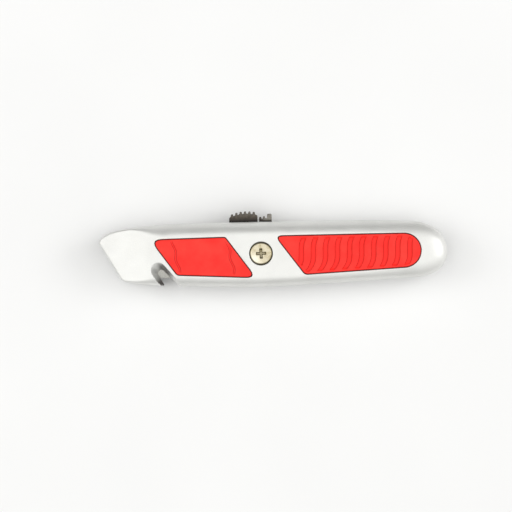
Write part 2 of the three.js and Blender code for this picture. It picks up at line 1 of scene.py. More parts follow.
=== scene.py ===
"""The looks of a retractable utility knife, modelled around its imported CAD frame.

Lengths are millimetres in the row frame: the knife lies on its right half, +X runs to the tail, +Y to
the thumb button and +Z through the thickness. Both halves are built as a height above the parting
plane, then placed on their own side of it. A finished mesh is scaled to metres.
"""

import math

import bmesh
import bpy
import numpy as np
from mathutils import Matrix, Vector
from mathutils.geometry import delaunay_2d_cdt


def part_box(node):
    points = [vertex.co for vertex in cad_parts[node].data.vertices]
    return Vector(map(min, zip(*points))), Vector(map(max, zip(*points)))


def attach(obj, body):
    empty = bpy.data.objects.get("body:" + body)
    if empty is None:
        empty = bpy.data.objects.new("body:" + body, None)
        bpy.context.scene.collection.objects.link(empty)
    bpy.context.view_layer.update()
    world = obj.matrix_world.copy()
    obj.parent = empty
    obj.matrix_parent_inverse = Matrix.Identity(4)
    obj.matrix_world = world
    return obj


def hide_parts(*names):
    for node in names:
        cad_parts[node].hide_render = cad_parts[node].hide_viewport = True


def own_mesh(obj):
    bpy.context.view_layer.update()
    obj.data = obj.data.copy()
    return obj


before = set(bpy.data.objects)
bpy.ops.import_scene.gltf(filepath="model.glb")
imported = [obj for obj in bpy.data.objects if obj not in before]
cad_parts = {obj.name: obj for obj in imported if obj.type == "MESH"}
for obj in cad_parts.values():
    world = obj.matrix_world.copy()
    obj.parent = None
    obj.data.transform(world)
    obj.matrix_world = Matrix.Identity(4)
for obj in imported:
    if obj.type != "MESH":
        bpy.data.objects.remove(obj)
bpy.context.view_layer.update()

METRE = 1000


def cad_low(node):
    """Lowest corner of a CAD node, in millimetres."""
    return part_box(node)[0] * METRE


def cad_high(node):
    """Highest corner of a CAD node, in millimetres."""
    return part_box(node)[1] * METRE


# ---- sizes -----------------------------------------------

# Housing: the same on both sides of the parting plane
MID_Z = cad_high("left_shell").z / 2
HALF_THICKNESS = MID_Z
PARTING_GAP = 0.05
PARTING_CHAMFER = 0.13
WALL = 2.9
FLOOR = 2.8
RIM_DEPTH = 5
RIM_BACK = 6.2
RIM_BELLY = 4.8
RIM_NOSE = 0.9
RIM_NOSE_DEPTH = 1.4
RIM_TAIL = 8.5
RIM_BOW = 0.75
RIM_NOSE_RUN = (-62, -44)
RIM_TAIL_RUN = (50, 80)
RIM_STEPS = 10
NOSE_TAPER_START = -51
NOSE_TAPER = 0.106
NOSE_TAPER_BLEND = 3
CROWN = 0.12
HOLLOW_START = -59
INSIDE = HALF_THICKNESS - FLOOR
INSIDE_FILLET = 1.4
BELLY = [(-62.9, -11.44), (-51.6, -13.15), (-37.8, -14.05), (-10.1, -15.1), (5, -15.25),
         (31.5, -14.42), (59.2, -13.34), (72, -12.7)]
BACK = [(72, 12.75), (55.4, 13.8), (18.4, 14.4), (-13.9, 14.7), (-37, 14.7),
        (-53.2, 13.95), (-64.8, 12.5), (-69.5, 11.25), (-72.7, 9.65)]

# String-cutting notch in the belly: wide at the side faces, narrow beside the blade
CUTTER_CENTRE = np.array([-47.45, -6.5])
CUTTER_RADIUS = 3.45
CUTTER_FLARE = 2.9
CUTTER_DIRECTION = np.array([0.65, -0.76]) / math.hypot(0.65, 0.76)
CUTTER_ACROSS = np.array([-CUTTER_DIRECTION[1], CUTTER_DIRECTION[0]])
CUTTER_LENGTH = 16
CUTTER_WALL = 1.5
CUTTER_EDGE = 0.4
THROAT_RADIUS = 1.6
THROAT_MOUTH = 2.5
THROAT_FLARE = 2.2
THROAT_ADVANCE = 1.8
THROAT_DEPTH = 0.9
THROAT_LIPS = (0.5, 0.9)
WIDE = np.array([CUTTER_RADIUS, CUTTER_RADIUS, 0, CUTTER_FLARE])
THROAT = np.array([THROAT_RADIUS, THROAT_MOUTH, THROAT_ADVANCE, THROAT_FLARE])
FACE_GRID = ((-75, -14), (84, 14), 2.2)
NOTCH_GRID = ((-51, -14.5), (-35.5, -8.5), 0.4)

# Soft inlays and their pockets; corners are (x, y, radius)
FRONT_INLAY = [(-50.4, 7.45, 2.6), (-38.8, -8.75, 2.4), (-3.1, -10.85, 2), (-16.4, 7.7, 1.5)]
REAR_INLAY_START = [(7.1, 7.7, 1.6), (20.1, -10, 2.4)]
REAR_INLAY_END = [(65.9, -8, 0), (65.9, 7.35, 0)]
INLAY_THICKNESS = 1.4
INLAY_SINK = 0.1
INLAY_GAP = 0.4
INLAY_POCKET = 1.6
INLAY_EDGE = 0.35
GROOVE_COUNT = 10
GROOVE_PITCH = 5.55
GROOVE_HALF = 1.1
GROOVE_SOFTNESS = 0.14
GROOVE_DEPTH = 0.6
GROOVE_FADE = (0.5, 1.7)
FIRST_GROOVE_X = 18.6
GROOVE_SWEEP = 2.4
LINE_PLACES = (-39.3, -14.3)
LINE_HALF = 0.42
LINE_SOFTNESS = 0.2
LINE_DEPTH = 0.35

# Screw and threaded insert, both on the origin's axis; the cross's levels are its depth below the
# head's top, with its length and width as shares of those at the top
HEAD_RADIUS = cad_high("housing_screw").x
HEAD_TOP = cad_high("housing_screw").z
HEAD_HEIGHT = 3.4
HEAD_EDGE = 0.85
CROSS_DEPTH = 1.7
CROSS_REACH = 2.36
CROSS_HALF = 0.7
CROSS_TURN = 0.035
CROSS_LEVELS = ((-0.6, 1.06, 1.1), (0, 1, 1), (0.12, 0.97, 0.94), (CROSS_DEPTH, 0.74, 0.5))
SHANK_RADIUS = 2.4
SHANK_END = cad_low("housing_screw").z
THREAD_PITCH = 0.9
THREAD_DEPTH = 0.3
COUNTERBORE_RADIUS = 5.45
HEAD_PLAY = 0.1
BOSS_RIGHT = 5.5
BOSS_LEFT = 6.5
INSERT_RADIUS = 3.5
INSERT_BORE = 2.5

# Blades
BLADE_LENGTH = 61
BLADE_HEIGHT = 18.7
BLADE_THICKNESS = 0.6
BLADE_SLANT = 13.2
BLADE_CENTRE_X = (cad_low("blade").x + cad_high("blade").x) / 2
BLADE_EDGE_Y = cad_low("blade").y
BLADE_BACK_Y = BLADE_EDGE_Y + BLADE_HEIGHT
BLADE_TRAVEL = 21
NOTCH_PITCH = 12.5
NOTCH_WIDTH = 3
NOTCH_DEPTH = 2.3
GRIND_WIDTH = 3.2
HONE_WIDTH = 0.6
SPARE_COUNT = 5
SPARE_CENTRE_X = 43.2
SPARE_EDGE_Y = cad_low("spare_blade_1").y

# Carrier and thumb button; corners are (x, y, radius), teeth are (x, tip's y)
BAR_BOTTOM_Y = 8.9
BAR_TOP_Y = 11.4
BAR_FRONT_X = -34
BAR_REAR_X = 6
BAR_HALF = 2.4
CARRIER_PLAY = 0.4
PLATE_FRONT_X = -42
PLATE_PLAN = [(PLATE_FRONT_X, 9.2, 0.4), (PLATE_FRONT_X, 1, 1.2), (-40.5, -0.5, 0.8),
              (-10.5, -0.5, 1), (-16.5, 9.2, 0.4)]
BUTTON_FRONT_X = cad_low("thumb_button").x
BUTTON_REAR_X = cad_high("thumb_button").x
BUTTON_BASE_Y = cad_low("thumb_button").y
BUTTON_HALF = 3.6
BUTTON_PRESS = 1.2
BUTTON_CROWN = 0.35
CREST_X = -6.4
CREST_Y = 19.65
CREST_CURVE = 0.0275
TOOTH_COUNT = 6
TOOTH_PITCH = 2.01
TOOTH_HEIGHT = 1
TOOTH_ROOT_HALF = 0.62
TOOTH_TIP_HALF = 0.44
FIRST_TOOTH_X = -2.84
SLOT_PLAY = 0.35
SLOT_LEVELS = ((BAR_TOP_Y, 0), (14.25, 0), (14.45, 0.06), (14.62, 0.2), (14.9, 0.5), (16, 0.5))
TAIL_FRONT_X = -0.46
TAIL_REAR_X = 5.4
TAIL_STOP = [(TAIL_REAR_X, 18.3, 0.7), (3.3, 18.3, 0.6), (3.2, 16.3, 0.25)]
TAIL_TEETH = [(1.87, 17.2), (0.15, 16.95)]
PIN_X = -8.1
PIN_Y = 14.2
PIN_RADIUS = 0.5
PIN_HALF_LENGTH = 2.6
POST_HALF_LENGTH = 2.4
POST_HALF = 1.1
POST_TOP_Y = 15
SPRING_X = -3.1
SPRING_RADIUS = 1.0
SPRING_WIRE = 0.35
SPRING_BASE_Y = 11.65
SPRING_LENGTH = 3.9
SPRING_TURNS = 5
SPRING_END_EASE = 0.08

# Leaf over the stored blades, its rivet, and the pins that line the halves up
CLIP_X = 12.6
CLIP_SEAT_Z = 8
CLIP_SHEET = 0.4
CLIP_WIDTH = 7
CLIP_FOOT = 2.4
LEAF_PRESS = (29, 7.15)
LEAF_TIP = (31, 7.6)
LEAF_CORNER = 1.2
RIVET_RADIUS = 0.7
LOCATING_PINS = [(-62.5, 10.8), (83.4, -1)]
LOCATING_PIN_RADIUS = 0.85
LOCATING_PIN_HEIGHT = 2.4

# Ribs inside the halves, each from x to x and from y to y
BLADE_RIB = (-34, -9, -9.2, -7.4)
BAR_RAIL = (HOLLOW_START - 1, 8, 9.5, 11.1)
STORE_WALL = (9.4, 10.9, -14, 8.4)
STORE_POST_RADIUS = 1.1
STORE_POST_START = 3.2
CLIP_BOSS_RADIUS = 2.2
RIGHT_RIB = (HOLLOW_START - 1, -9, 3.2, 5)
LEFT_RIB = (HOLLOW_START - 1, -13, 1.6, 3.4)

# Camera: the width and centre of its view, and the height that they are measured at
LENS = 400
SENSOR_WIDTH = 36
VIEW_WIDTH = 236.4
VIEW_CENTRE = (-2.34, -1.09)
VIEW_LEVEL = 12
VIEW_TURN = -1.6

# Studio, in metres, and the sky's brightness by direction
FLOOR_SIZE = 3.0
SOFTBOX_SIZE = 0.6
SOFTBOX_POWER = 3
SKY_STRENGTH = 0.9
SKY_ALONG = [(-1, 0.5), (-0.7, 0.9), (-0.3, 1.6), (0, 0.9), (0.3, 1.45), (0.7, 1.15), (1, 1)]
SKY_ACROSS = [(-1, 0.2), (-0.7, 0.45), (-0.4, 1.05), (0, 1.3), (0.3, 1.25), (0.5, 0.85),
              (0.65, 0.3), (0.8, 0.08), (1, 0.02)]


# ---- plan curves -----------------------------------------

def bezier(points, steps):
    """Points along a Bezier curve, without its last one."""
    result = []
    for step in range(steps):
        level = [np.array(point, float) for point in points]
        while len(level) > 1:
            level = [a + (b - a) * step / steps for a, b in zip(level, level[1:])]
        result.append(level[0])
    return np.array(result)


def smooth_curve(points, steps):
    """Points along a Catmull-Rom curve through the given ones, without its last one."""
    p = np.array(points, float)
    last = len(p) - 1
    t = (np.arange(steps) / steps)[:, None]
    spans = []
    for k in range(last):
        start, end = p[k], p[k + 1]
        leaving = (end - p[max(k - 1, 0)]) / 2
        arriving = (p[min(k + 2, last)] - start) / 2
        cubic = 2 * start - 2 * end + leaving + arriving
        square = 3 * end - 3 * start - 2 * leaving - arriving
        spans.append(cubic * t ** 3 + square * t ** 2 + leaving * t + start)
    return np.vstack(spans)


def spaced(points, end, spacing):
    """An open run of points that stops short of its end, spread evenly."""
    run = np.vstack([points, [end]])
    along = np.concatenate([[0], np.cumsum(np.linalg.norm(np.diff(run, axis=0), axis=1))])
    count = max(2, round(along[-1] / spacing))
    places = np.arange(count) / count * along[-1]
    return np.column_stack([np.interp(places, along, run[:, k]) for k in (0, 1)])


def divided(loop, longest):
    """A closed loop with points added, so that no side is longer than asked."""
    result = []
    for start, end in zip(loop, np.roll(loop, -1, axis=0)):
        count = max(1, math.ceil(np.linalg.norm(end - start) / longest))
        result += [start + (end - start) * k / count for k in range(count)]
    return np.array(result)


def corner(before, here, after, radius, steps=5):
    """A rounded corner as a short curve."""
    arriving = (before - here) / np.linalg.norm(before - here)
    leaving = (after - here) / np.linalg.norm(after - here)
    setback = radius / math.tan(math.acos(np.clip(arriving @ leaving, -1, 1)) / 2)
    start = here + arriving * setback
    end = here + leaving * setback
    return np.vstack([bezier([start, here, end], steps), [end]])


def rounded(corners, steps=5):
    """Closed loop of (x, y, radius) corners."""
    places = np.array([item[:2] for item in corners], float)
    pieces = []
    for k, item in enumerate(corners):
        if item[2] > 0:
            after = places[(k + 1) % len(corners)]
            pieces.append(corner(places[k - 1], places[k], after, item[2], steps))
        else:
            pieces.append(places[k:k + 1])
    return np.vstack(pieces)


def box_loop(x0, x1, y0, y1, radius=0, steps=5):
    return rounded([(x0, y0, radius), (x1, y0, radius), (x1, y1, radius), (x0, y1, radius)], steps)


def full_turn(steps):
    return np.arange(steps) / steps * 2 * math.pi


def circle(x, y, radius, steps=24):
    angles = full_turn(steps)
    return np.column_stack([x + radius * np.cos(angles), y + radius * np.sin(angles)])


def drawn_in(loop, distance):
    """A closed counter-clockwise loop moved inwards, by one distance or by one for each point."""
    span = np.roll(loop, -1, axis=0) - np.roll(loop, 1, axis=0)
    normals = np.column_stack([-span[:, 1], span[:, 0]]) / np.linalg.norm(span, axis=1)[:, None]
    return loop + normals * np.broadcast_to(distance, len(loop))[:, None]


def grown_corners(corners, gap):
    """Counter-clockwise (x, y, radius) corners moved out by a gap on every side."""
    places = np.array([item[:2] for item in corners], float)
    result = []
    for k, (_, _, radius) in enumerate(corners):
        here = places[k]
        after = places[(k + 1) % len(corners)]
        arriving = (here - places[k - 1]) / np.linalg.norm(here - places[k - 1])
        leaving = (after - here) / np.linalg.norm(after - here)
        outward = np.array([arriving[1] + leaving[1], -arriving[0] - leaving[0]])
        moved = here + outward * gap / (1 + arriving @ leaving)
        result.append((moved[0], moved[1], radius + gap))
    return result


def quarter(steps):
    """A quarter circle in even steps, as pairs of 1 - cosine and 1 - sine."""
    angles = [k / steps * math.pi / 2 for k in range(steps + 1)]
    return [(1 - math.cos(angle), 1 - math.sin(angle)) for angle in angles]


def smoothstep(value, low, high):
    t = np.clip((value - low) / (high - low), 0, 1)
    return t * t * (3 - 2 * t)


def nearest_on(line, points, closed):
    """Distance to a line, and the index and fraction of the nearest place on it."""
    start = line if closed else line[:-1]
    end = np.roll(line, -1, axis=0) if closed else line[1:]
    along = end - start
    distances, indices, fractions = [], [], []
    for part in np.array_split(points, len(points) // 1500 + 1):
        offset = part[:, None] - start[None]
        fraction = np.clip((offset * along).sum(2) / (along ** 2).sum(1), 0, 1)
        square = ((offset - fraction[..., None] * along) ** 2).sum(2)
        index = square.argmin(1)
        rows = np.arange(len(part))
        distances.append(np.sqrt(square[rows, index]))
        indices.append(index)
        fractions.append(fraction[rows, index])
    return np.concatenate(distances), np.concatenate(indices), np.concatenate(fractions)


def distance_to(line, points, closed=True):
    return nearest_on(line, points, closed)[0]


# ---- outline of the housing ------------------------------

def housing_outline():
    """Side view of the housing, counter-clockwise from the lower nose corner."""
    nose_low = (-64.95, -9.9)
    nose_high = (-74.2, 6)
    tail = (85.8, -1.4)
    return np.vstack([
        spaced(bezier([nose_low, (-64.2, -11.19), BELLY[0]], 30), BELLY[0], 0.25),
        spaced(smooth_curve(BELLY, 12), BELLY[-1], 1.0),
        spaced(bezier([BELLY[-1], (80.2, -12.3), (85.9, -8.2), tail], 40), tail, 0.7),
        spaced(bezier([tail, (85.8, 4.6), (82.2, 11.3), BACK[0]], 40), BACK[0], 0.7),
        spaced(smooth_curve(BACK, 12), BACK[-1], 1.0),
        spaced(bezier([BACK[-1], (-73.6, 8.9), (-74.9, 7.2), nose_high], 30), nose_high, 0.35),
        spaced([nose_high], nose_low, 0.9),
    ])


def rim_sizes(points):
    """Width, depth and bow of the rounded rim at points of the outline."""
    x, y = points.T
    from_nose = smoothstep(x, *RIM_NOSE_RUN)
    into_tail = smoothstep(x, *RIM_TAIL_RUN)
    width = RIM_NOSE + (np.where(y > 0, RIM_BACK, RIM_BELLY) - RIM_NOSE) * from_nose
    width = width + (RIM_TAIL - width) * into_tail
    depth = RIM_NOSE_DEPTH + (RIM_DEPTH - RIM_NOSE_DEPTH) * from_nose
    return width, depth, np.where(y > 0, RIM_BOW, 0) * from_nose * (1 - into_tail)


OUTLINE = housing_outline()
OUTLINE_RIM = rim_sizes(OUTLINE)
OUTLINE_WIDTH = OUTLINE_RIM[0]


def edge_drop(distance, width, depth, bow=0):
    """How far an edge has fallen, at a distance in from its border.

    With no bow it is a quarter ellipse, and with a bow of 1 a parabola.
    """
    inside = np.clip(1 - distance / width, 0, 1)
    return depth * (bow * inside ** 2 + (1 - bow) * (1 - np.sqrt(1 - inside ** 2)))


def face_height(points):
    """Height of a side face above the parting plane, with its rounded rim."""
    distance, index, fraction = nearest_on(OUTLINE, points, True)
    following = (index + 1) % len(OUTLINE)
    rim = [sizes[index] * (1 - fraction) + sizes[following] * fraction for sizes in OUTLINE_RIM]
    ahead = NOSE_TAPER_START - points[:, 0]
    bend = np.clip(ahead + NOSE_TAPER_BLEND, 0, 2 * NOSE_TAPER_BLEND) ** 2 / (4 * NOSE_TAPER_BLEND)
    taper = NOSE_TAPER * (bend + np.maximum(ahead - NOSE_TAPER_BLEND, 0))
    crown = CROWN * (points[:, 1] / 13) ** 2
    return HALF_THICKNESS - taper - crown - edge_drop(distance, *rim)


def notch_place(points):
    """Places of points along the notch and across it, from the centre of its round end."""
    offset = points - CUTTER_CENTRE
    return offset @ CUTTER_DIRECTION, offset @ CUTTER_ACROSS


def notch_arc(radius, advance):
    """Round end of the notch, clockwise from its nose side; an advance moves it towards the belly."""
    centre = CUTTER_CENTRE + CUTTER_DIRECTION * advance
    turns = np.linspace(0, math.pi, 17)[:, None]
    return centre - radius * (CUTTER_ACROSS * np.cos(turns) + CUTTER_DIRECTION * np.sin(turns))


def notch_line(radius, mouth, advance=0, flare=0):
    """Edge of the notch as an open line that starts and ends beyond the belly, flared on its nose side."""
    arc = notch_arc(radius, advance)
    far = CUTTER_CENTRE + CUTTER_DIRECTION * (advance + CUTTER_LENGTH)
    start = far - CUTTER_ACROSS * (mouth + flare)
    end = far + CUTTER_ACROSS * mouth
    return np.vstack([spaced([start], arc[0], 1), arc, spaced([arc[-1]], end, 1)[1:], [end]])


def belly_crossing(inside, outside):
    """Where a straight line leaves the belly, and the index of the outline point before that."""
    step = outside - inside
    beside = (OUTLINE - inside) @ np.array([-step[1], step[0]])
    belly = (OUTLINE[:, 1] < -11) & (np.abs(OUTLINE[:, 0] - inside[0]) < 20)
    k = np.flatnonzero(belly & (beside * np.roll(beside, -1) <= 0))[0]
    share = beside[k] / (beside[k] - beside[k + 1])
    return OUTLINE[k] + (OUTLINE[k + 1] - OUTLINE[k]) * share, k


def throat_border():
    """Border of the throat with its rounded lips, and the outline points that it runs between."""
    line = notch_line(*THROAT)
    arc = notch_arc(THROAT_RADIUS, THROAT_ADVANCE)
    entry, before = belly_crossing(arc[0], line[0])
    leaving, after = belly_crossing(arc[-1], line[-1])
    before -= 2
    after += 3
    first = corner(OUTLINE[before], entry, arc[0], THROAT_LIPS[0])
    last = corner(arc[-1], leaving, OUTLINE[after], THROAT_LIPS[1])
    into = spaced([first[-1]], arc[0], 1)[1:]
    out = spaced([arc[-1]], last[0], 1)[1:]
    return np.vstack([first, into, arc, out, last]), before, after


def soft_minimum(first, second, blend):
    """The lower of two heights, rounded off where they are within the blend of each other."""
    share = np.clip(0.5 + (second - first) / (2 * blend), 0, 1)
    return second + (first - second) * share - blend * share * (1 - share)


def funnel_height(points, throat):
    """Height of the notch's sloping sides, which rise from the throat to its wide edge and beyond it."""
    along, beside = notch_place(points)
    slope = CUTTER_FLARE / CUTTER_LENGTH
    nose_side = (CUTTER_RADIUS + beside + slope * along) / math.hypot(1, slope)
    straight = np.minimum(CUTTER_RADIUS - beside, nose_side)
    inside = np.where(along > 0, straight, CUTTER_RADIUS - np.hypot(along, beside))
    from_throat = distance_to(throat, points, False)
    share = np.where(inside > 0, from_throat / (from_throat + np.maximum(inside, 1e-9)), 1 - inside / 3)
    return THROAT_DEPTH + (HALF_THICKNESS - THROAT_DEPTH) * share


def front_inlay_loop(gap):
    return divided(rounded(grown_corners(FRONT_INLAY, gap)), 1.5)


def rear_inlay_loop(gap):
    """The rear inlay's border: two rounded corners and a half round at the tail."""
    corners = grown_corners(REAR_INLAY_START + REAR_INLAY_END, gap)
    start = rounded(corners, 6)[:14]
    (x, low, _), (_, high, _) = REAR_INLAY_END
    radius = (high - low) / 2 + gap
    angles = np.linspace(-math.pi / 2, math.pi / 2, 25)
    arc = np.column_stack([x + radius * np.cos(angles), (low + high) / 2 + radius * np.sin(angles)])
    return divided(np.vstack([start, arc]), 1.5)


# ---- meshes ----------------------------------------------

def scene_object(name, data):
    obj = bpy.data.objects.new(name, data)
    bpy.context.scene.collection.objects.link(obj)
    return obj


def mesh_object(name, vertices, faces):
    """A closed mesh object in millimetres, with its faces turned outwards."""
    mesh = bpy.data.meshes.new(name)
    mesh.from_pydata([tuple(map(float, vertex)) for vertex in vertices], [], faces)
    obj = scene_object(name, mesh)
    bm = bmesh.new()
    bm.from_mesh(mesh)
    bmesh.ops.triangulate(bm, faces=[face for face in bm.faces if len(face.verts) > 4])
    bmesh.ops.recalc_face_normals(bm, faces=bm.faces)
    bm.to_mesh(mesh)
    bm.free()
    return obj


class Layout:
    """Borders, lines and points of a flat layout, and its triangles."""

    def __init__(self):
        self.points = []
        self.edges = []
        self.borders = []

    def dots(self, points):
        self.points += [Vector(point) for point in points]
        return list(range(len(self.points) - len(points), len(self.points)))

    def line(self, points, closed=False):
        places = self.dots(points)
        self.edges += zip(places, places[1:])
        if closed:
            self.edges.append((places[-1], places[0]))

    def border(self, loop):
        """The first border is the outer one, and later ones are holes."""
        self.borders.append(self.dots(loop))

    def grid(self, low, high, step, clear_of, clearance):
        """Adds a grid of points that stays clear of the given closed loops."""
        xs, ys = np.meshgrid(np.arange(low[0], high[0], step), np.arange(low[1], high[1], step))
        xs[::2] += step / 2
        points = np.column_stack([xs.ravel(), ys.ravel()])
        for loop in clear_of:
            points = points[distance_to(loop, points) > clearance]
        self.dots(points)

    def triangulate(self):
        """Points and triangles inside the outer border and outside the holes."""
        points, _, faces, _, _, sources = delaunay_2d_cdt(self.points, self.edges, self.borders, 0, 1e-4)
        kept = [face for face, source in zip(faces, sources) if list(source) == [0]]
        used = sorted({index for face in kept for index in face})
        place = {index: k for k, index in enumerate(used)}
        triangles = [[place[index] for index in face] for face in kept]
        return np.array([points[index] for index in used]), triangles


def boundary_loops(triangles):
    """Borders of a triangulated layout, each with the surface on its left."""
    directed = {(face[k - 1], face[k]) for face in triangles for k in range(3)}
    follow = {a: b for a, b in directed if (b, a) not in directed}
    loops = []
    while follow:
        loop = [next(iter(follow))]
        while loop[-1] in follow:
            loop.append(follow.pop(loop[-1]))
        loops.append(loop[:-1])
    return loops


def loop_area(loop):
    x, y = loop.T
    return (x @ np.roll(y, -1) - y @ np.roll(x, -1)) / 2


def solid_below(name, points, heights, triangles, foot, chamfer, hole_floor):
    """Closed solid under a height field: walls down to a chamfered foot, and floors in its holes."""
    vertices = [(x, y, height) for (x, y), height in zip(points, heights)]
    faces = [list(triangle) for triangle in triangles]
    for loop in boundary_loops(triangles):
        plan = points[loop]
        if loop_area(plan) > 0:
            rings = [(plan, foot + chamfer), (drawn_in(plan, chamfer), foot)] if chamfer else [(plan, foot)]
        else:
            rings = [(plan, hole_floor(plan.mean(axis=0)))]
        above = loop
        for ring, height in rings:
            below = list(range(len(vertices), len(vertices) + len(loop)))
            vertices += [(x, y, height) for x, y in ring]
            faces += [[above[k], above[k - 1], below[k - 1], below[k]] for k in range(len(loop))]
            above = below
        faces.append(above[::-1])
    return mesh_object(name, vertices, faces)


def bands(levels, count, first=0, closed=False):
    """Faces between rings of equally many vertices; closed joins the last ring to the first one too."""
    faces = []
    for level in range(levels if closed else levels - 1):
        here = first + level * count
        beyond = first + (level + 1) % levels * count
        for k in range(count):
            following = (k + 1) % count
            faces.append([here + k, here + following, beyond + following, beyond + k])
    return faces


def stack(name, rings):
    """Closed solid through rings of equally many 3-D points."""
    count = len(rings[0])
    last = (len(rings) - 1) * count
    faces = [list(range(count))[::-1], *bands(len(rings), count), list(range(last, last + count))]
    return mesh_object(name, np.vstack(rings), faces)


def at_height(loop, height):
    return np.column_stack([loop, np.full(len(loop), float(height))])


def prism(loop, low, high):
    """A plan loop made solid between two heights."""
    return stack("prism", [at_height(loop, low), at_height(loop, high)])


def at_y(loop, y):
    """A loop drawn in X and Z, at a place along Y."""
    return np.column_stack([loop[:, 0], np.full(len(loop), float(y)), loop[:, 1]])


def block(box, low, high):
    """A box (x0, x1, y0, y1) made solid between two heights."""
    return prism(box_loop(*box), low, high)


def turned_rod(x, y, sizes, steps=24):
    """A round rod along Z through (radius, height) sizes."""
    return stack("rod", [at_height(circle(x, y, radius, steps), z) for radius, z in sizes])


def rod(x, y, radius, low, high, steps=24):
    return turned_rod(x, y, ((radius, low), (radius, high)), steps)


def soft_slab(loop, low, high, radius, steps=3, levels=0):
    """A plan loop made solid, with its upper and lower edges rounded, and levels between them."""
    arc = quarter(steps)
    rings = [at_height(drawn_in(loop, radius * fall), low + radius * run) for run, fall in arc]
    rings += [at_height(loop, z) for z in np.linspace(low + radius, high - radius, levels + 2)[1:-1]]
    rings += [at_height(drawn_in(loop, radius * run), high - radius * fall) for run, fall in arc]
    return stack("slab", rings)


def centred_slab(loop, half, radius, levels=0):
    """A soft slab that reaches as far into one half of the knife as into the other."""
    return soft_slab(loop, MID_Z - half, MID_Z + half, radius, levels=levels)


def turned_rings(profile, steps):
    """Rings about Z through (radius, z) points; a radius may be one number or one for each step."""
    return np.vstack([at_height(circle(0, 0, radius, steps), z) for radius, z in profile])


def lathe(name, profile, steps):
    """Closed solid of revolution about Z, whose profile starts and ends on the axis."""
    ends = [(0, 0, profile[0][1]), (0, 0, profile[-1][1])]
    vertices = np.vstack([ends, turned_rings(profile[1:-1], steps)])
    faces = bands(len(profile) - 2, steps, 2)
    top = len(vertices) - steps
    for k in range(steps):
        following = (k + 1) % steps
        faces += [[0, 2 + following, 2 + k], [1, top + k, top + following]]
    return mesh_object(name, vertices, faces)


def combine(solid, tools, operation):
    """Joins every tool to the solid, or cuts it away, and removes the tools."""
    for tool in tools:
        modifier = solid.modifiers.new("step", "BOOLEAN")
        modifier.operation = operation
        modifier.solver = "MANIFOLD"
        modifier.object = tool
    bpy.context.view_layer.update()
    evaluated = solid.evaluated_get(bpy.context.evaluated_depsgraph_get())
    result = bpy.data.meshes.new_from_object(evaluated)
    solid.modifiers.clear()
    replaced = solid.data
    solid.data = result
    bpy.data.meshes.remove(replaced)
    for tool in tools:
        bpy.data.objects.remove(tool)
    return solid


def cut(solid, *tools):
    return combine(solid, tools, "DIFFERENCE")


def join(solid, *tools):
    return combine(solid, tools, "UNION")


def moved(obj, offset):
    obj.data.transform(Matrix.Translation(offset))
    return obj


def on_side(obj, side):
    """Takes a solid built above the parting plane to its own half."""
    direction = 1 if side == "left" else -1
    obj.data.transform(Matrix.Diagonal((1, 1, direction, 1)))
    if direction < 0:
        obj.data.flip_normals()
    return moved(obj, (0, 0, MID_Z))


def piece(obj, name, material, body, node, sharp_angle=32):
    """Finishes a piece that stands for a CAD node."""
    obj.name = name
    obj.data.name = name
    obj.data.transform(Matrix.Scale(1 / METRE, 4))
    obj.data.shade_smooth()
    obj.data.set_sharp_from_angle(angle=math.radians(sharp_angle))
    obj.data.materials.clear()
    obj.data.materials.append(material)
    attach(obj, body)
    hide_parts(node)
    return obj


# ---- housing ---------------------------------------------

def rounding(width, steps):
    """Distances in from a border at which a rounded edge is divided evenly by angle."""
    return [width * run for run, _ in quarter(steps)[1:]]


def face_openings(side):
    """Loops of the openings in a side face, each with the radius of its rounded edge."""
    loops = [(front_inlay_loop(INLAY_GAP), 0.25), (rear_inlay_loop(INLAY_GAP), 0.25)]
    if side == "left":
        loops.append((circle(0, 0, COUNTERBORE_RADIUS, 64), 0.3))
    return loops


def shell_blank(side):
    """One half before it is hollowed: rounded rim, notch, inlay pockets and screw counterbore."""
    throat, before, after = throat_border()
    openings = face_openings(side)
    notch = notch_line(*WIDE)
    layout = Layout()
    layout.border(np.vstack([OUTLINE[:before + 1], throat, OUTLINE[after:]]))
    for loop, _ in openings:
        layout.border(loop)
    for share in rounding(1, RIM_STEPS) + [1.08]:
        layout.line(drawn_in(OUTLINE, OUTLINE_WIDTH * share), closed=True)
    for loop, edge in openings:
        for distance in rounding(edge, 4) + [edge + 0.25]:
            layout.line(drawn_in(loop, -distance), closed=True)
    for share in (0.2, 0.4, 0.6, 0.8, 0.93):
        layout.line(notch_line(*(THROAT + (WIDE - THROAT) * share)))
    for distance in [0] + rounding(CUTTER_EDGE, 4) + [CUTTER_EDGE + 0.3]:
        layout.line(notch_line(*(WIDE + (distance, distance, 0, 0))))
    inner_rim = drawn_in(OUTLINE, OUTLINE_WIDTH)
    layout.grid(*FACE_GRID, [inner_rim, OUTLINE, notch, *[loop for loop, _ in openings]], 1.1)
    layout.grid(*NOTCH_GRID, [OUTLINE, throat], 0.2)
    points, triangles = layout.triangulate()
    heights = soft_minimum(face_height(points), funnel_height(points, throat), 2 * CUTTER_EDGE)
    for loop, edge in openings:
        heights -= edge_drop(distance_to(loop, points), edge, edge)
    seat = HEAD_TOP - HEAD_HEIGHT - HEAD_PLAY - MID_Z

    def hole_floor(centre):
        return seat if np.linalg.norm(centre) < 3 else HALF_THICKNESS - INLAY_POCKET

    return solid_below("shell", points, heights, triangles, PARTING_GAP, PARTING_CHAMFER, hole_floor)


